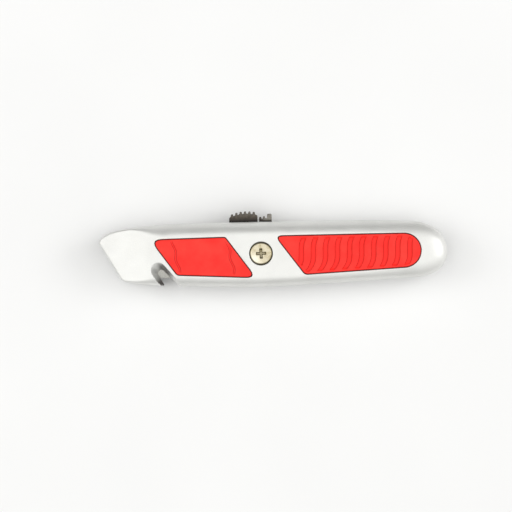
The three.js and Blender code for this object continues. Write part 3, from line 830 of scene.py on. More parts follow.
def hollow(side):
    """The space inside one half, with its ribs and bosses left standing."""
    plan = drawn_in(OUTLINE, WALL)
    plan = plan[plan[:, 0] > HOLLOW_START]
    rings = [at_height(plan, -1)]
    for run, fall in quarter(4):
        rings.append(at_height(drawn_in(plan, INSIDE_FILLET * run), INSIDE - INSIDE_FILLET * fall))
    root = INSIDE + 0.4
    notch_wall = CUTTER_RADIUS + CUTTER_WALL
    ribs = [
        prism(notch_line(notch_wall, notch_wall), -2, root),
        block(BLADE_RIB, -2, root),
        block(BAR_RAIL, BAR_HALF + CARRIER_PLAY, root),
        block(STORE_WALL, -2, root),
    ]
    if side == "right":
        post_y = SPARE_EDGE_Y + BLADE_HEIGHT - 0.9
        posts = [rod(SPARE_CENTRE_X + side_x, post_y, STORE_POST_RADIUS, STORE_POST_START, root)
                 for side_x in (-NOTCH_PITCH / 2, NOTCH_PITCH / 2)]
        clip_boss = rod(CLIP_X, 0, CLIP_BOSS_RADIUS, MID_Z - CLIP_SEAT_Z, root)
        ribs += [rod(0, 0, BOSS_RIGHT, -2, root, 48), block(RIGHT_RIB, -2, root), clip_boss, *posts]
    else:
        ribs += [rod(0, 0, BOSS_LEFT, -2, root, 48), block(LEFT_RIB, -2, root)]
    return cut(stack("hollow", rings), *ribs)


def blade_channel():
    """Thin space that the blade slides in, open at the nose."""
    top = BLADE_BACK_Y + 0.45
    bottom = BLADE_EDGE_Y - 0.45
    rear = BLADE_CENTRE_X + BLADE_LENGTH / 2 + 0.5
    front = BLADE_CENTRE_X - BLADE_LENGTH / 2 + BLADE_SLANT - BLADE_TRAVEL - 0.55
    mouth = -80
    rise = (mouth - front) * BLADE_HEIGHT / BLADE_SLANT
    plan = [(mouth, bottom), (rear, bottom), (rear, top), (front, top), (mouth, top + rise)]
    return prism(np.array(plan), -1, BLADE_THICKNESS / 2 + 0.3)


def button_slot():
    """Opening along the back for the button and the carrier's tail, flared at its outer edge."""
    front = BUTTON_FRONT_X - BLADE_TRAVEL - 0.4
    rear = TAIL_REAR_X + 0.4
    half = BUTTON_HALF + SLOT_PLAY
    rings = []
    for y, flare in SLOT_LEVELS:
        rings.append(at_y(box_loop(front - flare, rear + flare, -half - flare, half + flare, 1.2), y))
    return stack("slot", rings)


def half_cuts(side):
    """What is cut from one half after it is hollowed."""
    reach = BLADE_TRAVEL + 0.6
    bar_room = (BAR_FRONT_X - reach, BAR_REAR_X + 1, BAR_BOTTOM_Y - 0.4, BAR_TOP_Y + 0.3)
    plate_room = (PLATE_FRONT_X - reach, -8, -0.9, BAR_BOTTOM_Y + 0.7)
    tools = [
        blade_channel(),
        block(bar_room, -1, BAR_HALF + CARRIER_PLAY),
        block(plate_room, -1, 2.4 if side == "right" else 1.6),
        button_slot(),
    ]
    if side == "right":
        seat = MID_Z - CLIP_SEAT_Z
        half_width = CLIP_WIDTH / 2 + 0.3
        tools += [
            rod(0, 0, INSERT_RADIUS + 0.05, -1, 7.5, 48),
            rod(CLIP_X, 0, RIVET_RADIUS + 0.05, -1, seat + 3.2),
            block((9, 11.3, -half_width, half_width), -1, seat + 0.1),
        ]
    else:
        depth = LOCATING_PIN_HEIGHT + 0.3
        sockets = [rod(x, y, LOCATING_PIN_RADIUS + 0.2, -1, depth) for x, y in LOCATING_PINS]
        tools += [rod(0, 0, SHANK_RADIUS + 0.35, -1, MID_Z, 48), *sockets]
    return tools


def locating_pin(x, y):
    """Pin across the parting plane, with a lead-in at its tip."""
    tip = -LOCATING_PIN_HEIGHT
    radius = LOCATING_PIN_RADIUS
    return turned_rod(x, y, ((radius - 0.35, tip), (radius, tip + 0.5), (radius, 1)))


def shade(obj, amounts, name="shade"):
    """Stores an amount of painted shade from 0 to 1 for each vertex, which the materials read."""
    values = np.zeros(len(obj.data.vertices))
    values[:len(amounts)] = amounts
    obj.data.attributes.new(name, "FLOAT", "POINT").data.foreach_set("value", values)
    return obj


def positions(obj):
    places = np.zeros(len(obj.data.vertices) * 3)
    obj.data.vertices.foreach_get("co", places)
    return places.reshape(-1, 3)


def shade_openings(shell, side):
    """Marks painted shade in the housing: the gaps round the inlays and the screw, and the notch's sides,
    where shade falls.
    """
    places = positions(shell)
    plan, heights = places[:, :2], places[:, 2]
    faces = face_height(plan)
    along, beside = notch_place(plan)
    wall = funnel_height(plan, throat_border()[0])
    on_wall = (wall < faces + 0.1) & (np.abs(heights - wall) < 0.3)
    # Painted shade on the notch's sides: on the tail side near the round end, and on the nose side towards
    # the belly.
    tail_side = 0.72 * smoothstep(beside, 0.6, 2) * smoothstep(along, -2.4, 0) * (1 - smoothstep(along, 3, 8))
    nose_side = 0.9 * smoothstep(-beside, 0.6, 2.2) * smoothstep(along, 1, 5)
    dark = np.where(on_wall, np.maximum(tail_side, nose_side), 0)
    # Painted shade on the floors of the gaps round the inlays, and lighter round the screw head.
    for (loop, _), amount in zip(face_openings(side), (1, 1, 0.6)):
        dark[(heights < faces - 0.6) & (heights > 5) & (distance_to(loop, plan) < 0.05)] = amount
    return shade(shell, dark)


def housing_half(side):
    shell = cut(shell_blank(side), hollow(side))
    cut(shell, *half_cuts(side))
    if side == "right":
        join(shell, *[locating_pin(x, y) for x, y in LOCATING_PINS])
    return on_side(shade_openings(shell, side), side)


# ---- inlays ----------------------------------------------

def groove_shift(y):
    """Sideways sweep of the rear inlay's grooves at a height y."""
    return GROOVE_SWEEP * (y / 8) ** 3


def line_shift(y):
    """Sideways sweep of the front inlay's two lines at a height y."""
    return -0.2 * y + 0.45 * np.sin(y * 0.75)


def recess_amount(points, centres, half, softness, shift):
    """How far each point is down in one of the grooves, from 0 to 1."""
    amount = np.zeros(len(points))
    across = points[:, 0] - shift(points[:, 1])
    for centre in centres:
        amount += 1 - smoothstep(np.abs(across - centre), half - softness, half + softness)
    return amount


def inlay(side, which):
    """A soft inlay that follows the side face, with rounded edges and shallow grooves."""
    if which == "front":
        loop = front_inlay_loop(0)
        centres, half, softness = LINE_PLACES, LINE_HALF, LINE_SOFTNESS
        depth, shift = LINE_DEPTH, line_shift
    else:
        loop = rear_inlay_loop(0)
        centres = [FIRST_GROOVE_X + k * GROOVE_PITCH for k in range(GROOVE_COUNT)]
        half, softness = GROOVE_HALF, GROOVE_SOFTNESS
        depth, shift = GROOVE_DEPTH, groove_shift
    levels = np.arange(-12, 11, 0.8)
    layout = Layout()
    layout.border(loop)
    for distance in rounding(INLAY_EDGE, 4) + list(np.linspace(*GROOVE_FADE, 5)):
        layout.line(drawn_in(loop, distance), closed=True)
    for centre in centres:
        for offset in (-softness, 0, softness):
            for sign in (-1, 1):
                line_x = centre + sign * (half + offset) + shift(levels)
                layout.line(np.column_stack([line_x, levels]))
    layout.grid(loop.min(axis=0), loop.max(axis=0), 1.6, [loop], 1.3)
    points, triangles = layout.triangulate()
    border_distance = distance_to(loop, points)
    profile = recess_amount(points, centres, half, softness, shift)
    fade = smoothstep(border_distance, *GROOVE_FADE)
    recess = profile * fade
    heights = face_height(points) - INLAY_SINK - depth * recess
    heights -= edge_drop(border_distance, INLAY_EDGE, INLAY_EDGE)
    foot = HALF_THICKNESS - INLAY_SINK - INLAY_THICKNESS
    obj = solid_below("inlay", points, heights, triangles, foot, 0, None)
    # Painted shade, which the material reads: the grooves, their walls and the inlay's foot are darkened.
    shade(obj, recess, "recess")
    shade(obj, 4 * profile * (1 - profile) * fade, "groove_wall_shade")
    shade(obj, positions(obj)[:, 2] < foot + 0.01)
    return on_side(obj, side)


# ---- screw and insert ------------------------------------

def thread(steps, z):
    """Share of a thread's depth round the axis at one height, from 0 in the root to 1 on the crest."""
    turn = (z / THREAD_PITCH - full_turn(steps) / (2 * math.pi)) % 1
    return 1 - np.abs(2 * turn - 1)


def cross_recess():
    """Tapered cross for a driver bit."""
    tools = []
    for turn in (CROSS_TURN, CROSS_TURN + math.pi / 2):
        rings = []
        for depth, length, width in CROSS_LEVELS:
            x, y = CROSS_REACH * length, CROSS_HALF * width
            rings.append(at_height(box_loop(-x, x, -y, y, 0.25 * y, 3), HEAD_TOP - depth))
        tool = stack("cross", rings)
        tool.data.transform(Matrix.Rotation(turn, 4, "Z"))
        tools.append(tool)
    return tools


def housing_screw():
    """Pan-head machine screw with a rolled thread."""
    steps = 64
    underside = HEAD_TOP - HEAD_HEIGHT
    root = SHANK_RADIUS - THREAD_DEPTH
    thread_top = underside - 1.4
    crown = HEAD_RADIUS - HEAD_EDGE
    row = THREAD_PITCH / 6
    thread_start = SHANK_END + 0.7
    profile = [(0, SHANK_END), (1.5, SHANK_END), (root, SHANK_END + 0.5)]
    for k in range(int((thread_top - thread_start) / row)):
        z = thread_start + k * row
        profile.append((root + THREAD_DEPTH * thread(steps, z), z))
    profile += [(SHANK_RADIUS, thread_top + 0.3), (SHANK_RADIUS, underside - 0.2),
                (SHANK_RADIUS + 0.2, underside), (HEAD_RADIUS - 0.15, underside),
                (HEAD_RADIUS, underside + 0.15)]
    for run, fall in quarter(6):
        profile.append((HEAD_RADIUS - HEAD_EDGE * run, HEAD_TOP - HEAD_EDGE * fall))
    profile += [(crown - 0.3, HEAD_TOP), (3, HEAD_TOP), (0, HEAD_TOP)]
    screw = cut(lathe("screw", profile, steps), *cross_recess())
    places = positions(screw)
    radius = np.hypot(places[:, 0], places[:, 1])
    below = HEAD_TOP - places[:, 2]
    # Painted shade on the head's rounded edge and down the cross's walls, lighter on the cross's floor.
    edge = 0.62 * smoothstep(radius, crown, crown + HEAD_EDGE / 2)
    recess = 0.95 * smoothstep(below, 0.02, 0.1) - 0.4 * smoothstep(below, 1, CROSS_DEPTH)
    return shade(screw, np.maximum(edge, np.where(radius < 2.7, recess, 0)))


def threaded_insert():
    """Brass bush with a knurled outside and a threaded bore."""
    low = cad_low("threaded_insert").z
    high = cad_high("threaded_insert").z
    steps = 60
    rows = 36
    profile = []
    for z in (low, low + 0.3, low + 2, low + 2.2, low + 2.8, low + 3, high - 0.3, high):
        banded = low + 0.1 < z < high - 0.1 and not low + 2.1 < z < low + 2.9
        profile.append((INSERT_RADIUS - (0.16 * (np.arange(steps) % 2) if banded else 0.3), z))
    for k in range(rows + 1):
        z = high - (high - low) * k / rows
        profile.append((INSERT_BORE + (0.25 * thread(steps, z) if 0 < k < rows else 0.3), z))
    return mesh_object("insert", turned_rings(profile, steps), bands(len(profile), steps, closed=True))


# ---- blades ----------------------------------------------

def blade_loop(centre_x, edge_y):
    """Trapezoid with two notches in its back."""
    left = centre_x - BLADE_LENGTH / 2
    right = centre_x + BLADE_LENGTH / 2
    back = edge_y + BLADE_HEIGHT
    corners = [(left, edge_y, 0.05), (right, edge_y, 0.05), (right - BLADE_SLANT, back, 0.4)]
    for sign in (1, -1):
        x = centre_x + sign * NOTCH_PITCH / 2
        half = NOTCH_WIDTH / 2
        corners += [(x + half, back, 0.3), (x + half, back - NOTCH_DEPTH, 0.7),
                    (x - half, back - NOTCH_DEPTH, 0.7), (x - half, back, 0.3)]
    corners.append((left + BLADE_SLANT, back, 0.4))
    return rounded(corners, 4)


def blade(centre_x, edge_y, bottom_z):
    """Hollow-ground on both faces, with a narrow honed edge."""
    layout = Layout()
    layout.border(blade_loop(centre_x, edge_y))
    for y in (edge_y + HONE_WIDTH, edge_y + GRIND_WIDTH):
        layout.line([(centre_x - BLADE_LENGTH, y), (centre_x + BLADE_LENGTH, y)])
    points, triangles = layout.triangulate()
    half = BLADE_THICKNESS / 2
    thickness = np.interp(points[:, 1] - edge_y, [0, HONE_WIDTH, GRIND_WIDTH], [0.02, 0.1, half])
    middle = bottom_z + half
    count = len(points)
    vertices = [np.column_stack([points, middle + sign * thickness]) for sign in (1, -1)]
    faces = [list(face) for face in triangles]
    faces += [[index + count for index in face[::-1]] for face in triangles]
    for border in boundary_loops(triangles):
        for k in range(len(border)):
            a, b = border[k - 1], border[k]
            faces.append([b, a, a + count, b + count])
    return mesh_object("blade", np.vstack(vertices), faces)


# ---- carrier and button ----------------------------------

def crest_y(x):
    """Height of the button's toothed crest."""
    return CREST_Y - CREST_CURVE * (x - CREST_X) ** 2


def tooth(x, tip):
    """Corners of one grip tooth, from its rear root to its front root."""
    root = tip - TOOTH_HEIGHT
    return [(x + TOOTH_ROOT_HALF, root, 0.22), (x + TOOTH_TIP_HALF, tip, 0.34),
            (x - TOOTH_TIP_HALF, tip, 0.34), (x - TOOTH_ROOT_HALF, root, 0.22)]


def crowned_slab(corners, edge, base):
    """A slab as wide as the button, whose top above its base falls towards both sides."""
    slab = centred_slab(divided(rounded(corners), 1.5), BUTTON_HALF, edge, 7)
    top = max(vertex.co.y for vertex in slab.data.vertices)
    for vertex in slab.data.vertices:
        share = max(0, (vertex.co.y - base) / (top - base))
        vertex.co.y -= BUTTON_CROWN * share * ((vertex.co.z - MID_Z) / BUTTON_HALF) ** 2
    return slab


def thumb_button():
    """Humped button with grip teeth, hollow underneath."""
    corners = [(BUTTON_FRONT_X, BUTTON_BASE_Y, 0.15), (BUTTON_REAR_X, BUTTON_BASE_Y, 0.15),
               (BUTTON_REAR_X, 17.5, 0.3)]
    for k in range(TOOTH_COUNT):
        x = FIRST_TOOTH_X - k * TOOTH_PITCH
        corners += tooth(x, crest_y(x))
    corners.append((BUTTON_FRONT_X, 16.6, 0.5))
    button = crowned_slab(corners, 0.25, BUTTON_BASE_Y)
    below = BUTTON_BASE_Y - 1
    room = POST_HALF_LENGTH + 0.5
    depth = POST_HALF + 0.4
    pocket = block((PIN_X - room, PIN_X + room, below, POST_TOP_Y + BUTTON_PRESS + 0.3),
                   MID_Z - depth, MID_Z + depth)
    gap = PIN_RADIUS + 0.1
    reach = PIN_HALF_LENGTH + 0.2
    slot = box_loop(PIN_X - gap, PIN_X + gap, PIN_Y - gap, PIN_Y + gap + BUTTON_PRESS, gap * 0.9)
    pin_slot = prism(slot, MID_Z - reach, MID_Z + reach)
    bore = circle(SPRING_X, MID_Z, 1.5, 32)
    return cut(button, pocket, pin_slot, stack("bore", [at_y(bore, below), at_y(bore, below + 5.2)]))


def carrier_tail():
    """Upright end of the carrier behind the button, with low teeth and a rounded stop."""
    base = BAR_TOP_Y - 0.1
    corners = [(TAIL_FRONT_X, base, 0), (TAIL_REAR_X, base, 0), *TAIL_STOP]
    for x, tip in TAIL_TEETH:
        corners += tooth(x, tip)
    corners[-1] = (TAIL_FRONT_X, tip - TOOTH_HEIGHT, 0.1)
    return crowned_slab(corners, 0.22, 14)


def blade_carrier():
    """Sliding frame: bar, blade plate with two lugs, button post and tail."""
    plate_top = MID_Z - BLADE_THICKNESS / 2 - 0.1
    post_plan = box_loop(PIN_X - POST_HALF_LENGTH, PIN_X + POST_HALF_LENGTH, BAR_TOP_Y - 0.5, POST_TOP_Y, 0.4)
    parts = [
        soft_slab(rounded(PLATE_PLAN), plate_top - 1.6, plate_top, 0.2),
        centred_slab(post_plan, POST_HALF, 0.2),
        carrier_tail(),
    ]
    for sign in (-1, 1):
        x = BLADE_CENTRE_X + sign * NOTCH_PITCH / 2
        loop = box_loop(x - 1.2, x + 1.2, BLADE_BACK_Y - NOTCH_DEPTH + 0.4, BAR_BOTTOM_Y + 0.3, 0.5)
        parts.append(soft_slab(loop, plate_top - 0.4, MID_Z + 1.2, 0.15))
    bar = centred_slab(box_loop(BAR_FRONT_X, BAR_REAR_X, BAR_BOTTOM_Y, BAR_TOP_Y, 0.5), BAR_HALF, 0.3)
    return cut(join(bar, *parts), rod(PIN_X, PIN_Y, PIN_RADIUS + 0.05, 0, 2 * MID_Z))


def pivot_pin():
    """Short pin that holds the button on the carrier's post."""
    low = MID_Z - PIN_HALF_LENGTH
    high = MID_Z + PIN_HALF_LENGTH
    chamfer = 0.12
    tip = PIN_RADIUS - chamfer
    return turned_rod(PIN_X, PIN_Y, ((tip, low), (PIN_RADIUS, low + chamfer),
                                     (PIN_RADIUS, high - chamfer), (tip, high)))


def coil_spring():
    """Compression spring with closed end coils."""
    sides = 10
    steps = 28 * SPRING_TURNS
    turns = 2 * math.pi * np.arange(sides)[:, None] / sides
    ease = (-SPRING_END_EASE, 1 + SPRING_END_EASE)
    start, end = smoothstep(np.array([0, 1]), *ease)
    low = SPRING_BASE_Y + SPRING_WIRE / 2
    rings = []
    for share in np.arange(steps + 1) / steps:
        angle = 2 * math.pi * SPRING_TURNS * share
        y = low + (SPRING_LENGTH - SPRING_WIRE) * (smoothstep(share, *ease) - start) / (end - start)
        out = np.array([math.cos(angle), 0, math.sin(angle)])
        centre = np.array([SPRING_X, y, MID_Z]) + SPRING_RADIUS * out
        rings.append(centre + SPRING_WIRE / 2 * (out * np.cos(turns) + np.array([0, 1, 0]) * np.sin(turns)))
    return stack("spring", rings)


# ---- leaf and rivet --------------------------------------

def retaining_leaf():
    """Bent strip that presses on the stored blades, with a turned-up end."""
    start_x = CLIP_X - CLIP_FOOT
    bottom = CLIP_SEAT_Z + 0.1
    bend = rounded([(start_x, bottom, 0), (CLIP_X + CLIP_FOOT, bottom, 2),
                    (*LEAF_PRESS, 1.5), (*LEAF_TIP, 0)])
    edge = 0.1
    rings = []
    for x in np.linspace(start_x, LEAF_TIP[0], 60):
        z = np.interp(x, bend[:, 0], bend[:, 1])
        from_end = min(x - start_x, LEAF_TIP[0] - x)
        half = CLIP_WIDTH / 2 - edge_drop(from_end, LEAF_CORNER, LEAF_CORNER) - 0.001
        section = [(-half, edge), (-half + edge, 0), (half - edge, 0), (half, edge),
                   (half, CLIP_SHEET - edge), (half - edge, CLIP_SHEET), (edge - half, CLIP_SHEET),
                   (-half, CLIP_SHEET - edge)]
        rings.append(np.array([(x, y, z + up) for y, up in section]))
    return cut(stack("leaf", rings), rod(CLIP_X, 0, RIVET_RADIUS + 0.05, 0, 2 * MID_Z))


def leaf_rivet():
    """Rivet with a domed head."""
    underside = CLIP_SEAT_Z + CLIP_SHEET + 0.2
    low = CLIP_SEAT_Z - 3
    head = 2 * RIVET_RADIUS
    profile = [(0, low), (RIVET_RADIUS - 0.15, low), (RIVET_RADIUS, low + 0.15), (RIVET_RADIUS, underside),
               (head - 0.05, underside), (head, underside + 0.06)]
    top = underside + 0.6
    for run, fall in quarter(9)[1:-1]:
        profile.append((head * (1 - run), top - 0.54 * fall))
    profile.append((0, top))
    return moved(lathe("rivet", profile, 32), (CLIP_X, 0, 0))


# ---- materials -------------------------------------------

def feed(tree, socket, value):
    """Links a socket to another one, or sets it to a plain value."""
    if isinstance(value, bpy.types.NodeSocket):
        tree.links.new(value, socket)
    else:
        socket.default_value = value


def calculate(tree, operation, *values):
    """Result of a Math node on sockets and numbers."""
    node = tree.nodes.new("ShaderNodeMath")
    node.operation = operation
    for socket, value in zip(node.inputs, values):
        feed(tree, socket, value)
    return node.outputs[0]


class Finish:
    """A procedural material on a Principled shader."""

    def __init__(self, name, metallic, **uniform):
        self.material = bpy.data.materials.new(name)
        self.material.use_nodes = True
        self.tree = self.material.node_tree
        self.shader = self.tree.nodes["Principled BSDF"]
        self.shader.inputs["Metallic"].default_value = metallic
        for socket, value in uniform.items():
            self.shader.inputs[socket.replace("_", " ")].default_value = value
        self.place = self.tree.nodes.new("ShaderNodeTexCoord").outputs["Object"]

    def node(self, kind, **inputs):
        node = self.tree.nodes.new(kind)
        for name, value in inputs.items():
            feed(self.tree, node.inputs[name.replace("_", " ")], value)
        return node

    def noise(self, scale, detail, stretch=(1, 1, 1)):
        """Noise with a scale in features per millimetre, stretched along an axis."""
        mapping = self.node("ShaderNodeMapping", Vector=self.place, Scale=stretch)
        return self.node("ShaderNodeTexNoise", Vector=mapping.outputs[0], Scale=scale * METRE,
                         Detail=detail, Roughness=0.55).outputs["Fac"]

    def spread(self, value, low, high, first=0, last=1):
        """Maps a value from one range to another."""
        return self.node("ShaderNodeMapRange", Value=value, From_Min=low, From_Max=high,
                         To_Min=first, To_Max=last).outputs["Result"]

    def blend(self, share, first, second):
        """Colour between two others."""
        node = self.tree.nodes.new("ShaderNodeMix")
        node.data_type = "RGBA"
        feed(self.tree, node.inputs[0], share)
        for socket, colour in ((node.inputs[6], first), (node.inputs[7], second)):
            feed(self.tree, socket, (*colour, 1) if isinstance(colour, tuple) else colour)
        return node.outputs[2]

    def mottled(self, noise, first, second, low=0.3, high=0.7):
        """Colour that drifts between two others with a noise."""
        return self.blend(self.spread(noise, low, high), first, second)

    def coordinates(self):
        """Places along X and Y, in millimetres."""
        parts = self.node("ShaderNodeSeparateXYZ", Vector=self.place)
        return [self.product(parts.outputs[axis], METRE) for axis in "XY"]

    def product(self, first, second):
        return calculate(self.tree, "MULTIPLY", first, second)

    def attribute(self, name):
        node = self.tree.nodes.new("ShaderNodeAttribute")
        node.attribute_name = name
        return node.outputs["Fac"]

    def surfaced(self, colour, roughness=None, *relief):
        """The material with its colour, its (noise, low, high) roughness and its relief.

        Relief is in (height, strength, depth in millimetres) layers.
        """
        feed(self.tree, self.shader.inputs["Base Color"], colour)
        if roughness:
            noise, low, high = roughness
            feed(self.tree, self.shader.inputs["Roughness"], self.spread(noise, 0.3, 0.7, low, high))
        normal = None
        for height, strength, depth in relief:
            node = self.node("ShaderNodeBump", Height=height, Strength=strength, Distance=depth / METRE)
            if normal:
                feed(self.tree, node.inputs["Normal"], normal)
            normal = node.outputs["Normal"]
            feed(self.tree, self.shader.inputs["Normal"], normal)
        return self.material


def cast_silver():
    """Satin silver lacquer on a die casting, with painted shade in the gaps round the inlays and the screw
    and on the notch's sides.
    """
    finish = Finish("cast_silver", 0.42)
    fleck = finish.noise(3.5, 2)
    base = finish.mottled(finish.noise(0.07, 2), (0.74, 0.74, 0.72), (0.69, 0.69, 0.67), 0.35, 0.65)
    lacquer = finish.blend(finish.spread(fleck, 0.45, 0.75, 0, 0.5), base, (0.84, 0.84, 0.81))
    # Painted shade, dark and reddish, where the shade attribute marks it.
    colour = finish.blend(finish.attribute("shade"), lacquer, (0.03, 0.014, 0.012))
    return finish.surfaced(colour, (finish.noise(0.25, 3), 0.34, 0.46),
                           (finish.noise(0.16, 2), 0.5, 0.05), (fleck, 0.35, 0.012))


def soft_red():
    """Moulded soft red plastic, with painted shade in its grooves, along their walls and at its foot."""
    finish = Finish("soft_red", 0, Specular_IOR_Level=0.3)
    grain = finish.noise(6, 2)
    raised = finish.mottled(finish.noise(0.1, 3), (0.9, 0.036, 0.024), (0.88, 0.018, 0.012), 0.35, 0.65)
    # Painted shade: darker in the grooves, darkest along their walls and at the inlay's foot.
    groove_shaded = finish.blend(finish.attribute("recess"), raised, (0.92, 0.019, 0.012))
    wall_shaded = finish.blend(finish.attribute("groove_wall_shade"), groove_shaded, (0.42, 0.003, 0.003))
    colour = finish.blend(finish.attribute("shade"), wall_shaded, (0.04, 0.002, 0.002))
    return finish.surfaced(colour, (grain, 0.48, 0.62),
                           (finish.noise(0.3, 2), 0.3, 0.03), (grain, 0.5, 0.02))


def plated_screw():
    """Pale yellow zinc plating with a painted highlight on one side of the head, painted shade on its edge
    and in its cross, and a darker streak.
    """
    finish = Finish("plated_zinc", 1)
    x, y = finish.coordinates()
    plating = finish.mottled(finish.noise(0.32, 4), (0.66, 0.6, 0.45), (0.47, 0.4, 0.25), 0.38, 0.62)
    # Painted highlight, brightest towards -X and -Y of the head.
    painted_highlight = finish.product(finish.spread(x, 1.5, -2.5), finish.spread(y, 1.5, -2))
    plating = finish.blend(painted_highlight, plating, (0.9, 0.85, 0.7))
    streak = finish.product(finish.spread(x, -0.75, -0.35), finish.spread(x, 0.05, -0.35))
    streak = finish.product(streak, finish.spread(y, 1.6, 2.6, 0, 0.8))
    plating = finish.blend(streak, plating, (0.4, 0.35, 0.2))
    # Painted shade where the shade attribute marks the head's edge and the cross.
    colour = finish.blend(finish.attribute("shade"), plating, (0.1, 0.08, 0.03))
    return finish.surfaced(colour, (finish.noise(2.5, 3), 0.24, 0.4), (finish.noise(5, 2), 0.3, 0.01))


def dark_phosphate():
    """Dark brown coating on the slider, with painted shade that darkens it towards its base and painted light
    that makes it paler up the grip and towards its crest; palest on the rear stop.
    """
    finish = Finish("dark_coating", 0.2, Specular_IOR_Level=0.3)
    speck = finish.noise(4, 3)
    patch = finish.noise(0.9, 3)
    x, y = finish.coordinates()
    coat = finish.mottled(speck, (0.014, 0.010, 0.007), (0.008, 0.006, 0.005), 0.35, 0.7)
    lit_coat = finish.mottled(patch, (0.085, 0.07, 0.054), (0.05, 0.04, 0.03), 0.35, 0.65)
    palest_coat = finish.mottled(patch, (0.30, 0.285, 0.25), (0.2, 0.185, 0.16))
    # Painted shade and light: darker towards the base, paler up the grip and towards the crest.
    grip = finish.blend(finish.spread(y, 15.2, 16.9), coat, lit_coat)
    crest = finish.blend(finish.spread(y, 16.8, 19.5, 0, 0.4), grip, palest_coat)
    stop = finish.product(finish.spread(x, 0.2, 2.8), finish.spread(y, 15, 15.9, 0, 0.85))
    colour = finish.blend(stop, crest, palest_coat)
    return finish.surfaced(colour, (finish.noise(1.2, 3), 0.45, 0.62), (speck, 0.4, 0.015))


def ground_steel():
    """Blade steel with fine grinding lines across the blade."""
    finish = Finish("ground_steel", 1)
    lines = finish.noise(9, 2, (1, 0.03, 0.03))
    colour = finish.mottled(finish.noise(0.2, 3), (0.44, 0.435, 0.405), (0.36, 0.355, 0.33))
    return finish.surfaced(colour, (lines, 0.22, 0.38), (lines, 0.25, 0.003))


def turned_brass():
    finish = Finish("turned_brass", 1)
    colour = finish.mottled(finish.noise(0.8, 3), (0.78, 0.58, 0.28), (0.62, 0.44, 0.20))
    lines = finish.noise(8, 2, (0.1, 0.1, 1))
    return finish.surfaced(colour, (finish.noise(3, 2), 0.22, 0.36), (lines, 0.3, 0.008))


def spring_steel():
    """Blued grey spring steel."""
    finish = Finish("spring_steel", 1)
    colour = finish.mottled(finish.noise(0.6, 3), (0.42, 0.42, 0.43), (0.33, 0.33, 0.34))
    lines = finish.noise(7, 2, (0.2, 1, 1))
    return finish.surfaced(colour, (finish.noise(3, 2), 0.26, 0.4), (lines, 0.3, 0.006))


# ---- the knife -------------------------------------------

def build_knife():
    silver = cast_silver()
    red = soft_red()
    dark = dark_phosphate()
    steel = ground_steel()
    sprung = spring_steel()
    for side, body in (("right", "handle"), ("left", "cover")):
        piece(housing_half(side), f"housing_{side}", silver, body, f"{side}_shell")
        for which in ("front", "rear"):
            piece(inlay(side, which), f"{which}_grip_{side}", red, body, f"{side}_{which}_inlay", 50)
    piece(housing_screw(), "cover_screw", plated_screw(), "screw", "housing_screw")
    piece(threaded_insert(), "screw_insert", turned_brass(), "handle", "threaded_insert")
    piece(blade_carrier(), "sliding_carrier", dark, "carrier", "blade_carrier")
    fitted = blade(BLADE_CENTRE_X, BLADE_EDGE_Y, cad_low("blade").z)
    piece(fitted, "fitted_blade", steel, "carrier", "blade", 2)
    piece(thumb_button(), "grip_button", dark, "button", "thumb_button")
    piece(pivot_pin(), "button_cross_pin", sprung, "carrier", "button_pin")
    spring = piece(coil_spring(), "lift_spring", sprung, "carrier", "button_spring")
    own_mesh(spring)
    for k in range(1, SPARE_COUNT + 1):
        node = f"spare_blade_{k}"
        spare = blade(SPARE_CENTRE_X, SPARE_EDGE_Y, cad_low(node).z)
        piece(spare, f"stored_blade_{k}", steel, "handle", node, 2)
    piece(retaining_leaf(), "retaining_leaf", sprung, "handle", "spare_blade_clip")
    piece(leaf_rivet(), "leaf_rivet", sprung, "handle", "clip_rivet")


# ---- studio ----------------------------------------------

def build_camera():
    """Long lens straight above the knife, turned so that the knife rises slightly to the right."""
    data = bpy.data.cameras.new("camera")
    data.lens = LENS
    data.sensor_width = SENSOR_WIDTH
    camera = scene_object("camera", data)
    distance = VIEW_WIDTH * LENS / SENSOR_WIDTH
    camera.location = (VIEW_CENTRE[0] / METRE, VIEW_CENTRE[1] / METRE, (distance + VIEW_LEVEL) / METRE)
    camera.rotation_euler = (0, 0, math.radians(VIEW_TURN))
    bpy.context.scene.camera = camera


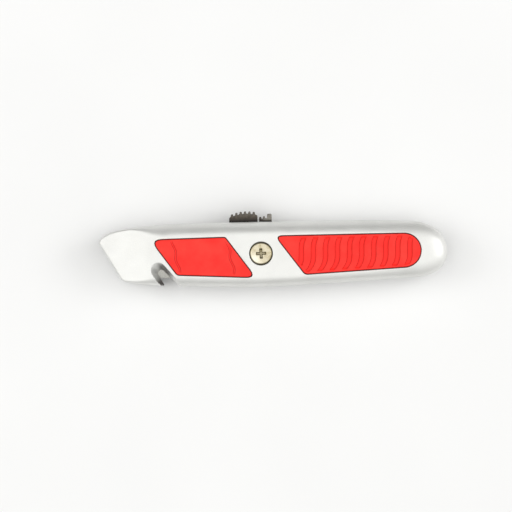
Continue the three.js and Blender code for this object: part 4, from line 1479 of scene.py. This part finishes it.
def build_floor():
    mesh = bpy.data.meshes.new("floor")
    corners = [(FLOOR_SIZE * x, FLOOR_SIZE * y, 0) for x, y in ((-1, -1), (1, -1), (1, 1), (-1, 1))]
    mesh.from_pydata(corners, [], [(0, 1, 2, 3)])
    floor = scene_object("floor", mesh)
    finish = Finish("floor_white", 0, Roughness=0.8)
    colour = finish.mottled(finish.noise(0.01, 2), (0.84, 0.84, 0.84), (0.82, 0.82, 0.82))
    mesh.materials.append(finish.surfaced(colour))


def softbox(name, place):
    """A soft square light that looks at the knife."""
    data = bpy.data.lights.new(name, "AREA")
    data.shape = "SQUARE"
    data.size = SOFTBOX_SIZE
    data.energy = SOFTBOX_POWER
    light = scene_object(name, data)
    light.location = place
    light.rotation_euler = (-Vector(place)).to_track_quat("-Z", "Y").to_euler()


def sky_ramp(tree, value, stops):
    """Brightness along one direction of the sky, from (direction from -1 to 1, brightness) stops."""
    curve = tree.nodes.new("ShaderNodeFloatCurve")
    points = curve.mapping.curves[0].points
    while len(points) < len(stops):
        points.new(0.5, 0.5)
    for point, (place, brightness) in zip(points, stops):
        point.location = (place / 2 + 0.5, brightness / 2)
        point.handle_type = "AUTO_CLAMPED"
    curve.mapping.update()
    feed(tree, curve.inputs["Value"], calculate(tree, "MULTIPLY_ADD", value, 0.5, 0.5))
    return curve.outputs[0]


def build_sky():
    """Bright overhead and beyond both ends of the knife, greyer beyond its back and belly."""
    world = bpy.data.worlds.new("studio")
    bpy.context.scene.world = world
    world.use_nodes = True
    tree = world.node_tree
    parts = tree.nodes.new("ShaderNodeSeparateXYZ")
    feed(tree, parts.inputs[0], tree.nodes.new("ShaderNodeTexCoord").outputs["Generated"])
    along = sky_ramp(tree, parts.outputs["X"], SKY_ALONG)
    across = sky_ramp(tree, parts.outputs["Y"], SKY_ACROSS)
    strength = calculate(tree, "MULTIPLY", calculate(tree, "MULTIPLY", along, across), 4 * SKY_STRENGTH)
    background = tree.nodes["Background"]
    feed(tree, background.inputs["Strength"], strength)
    background.inputs["Color"].default_value = (1, 1, 0.985, 1)


def build_studio():
    build_floor()
    build_sky()
    softbox("left_softbox", (-1.0, 0.2, 0.8))
    softbox("right_softbox", (1.0, 0.2, 0.8))
    bpy.context.scene.view_settings.view_transform = "Standard"


build_camera()
build_knife()
build_studio()
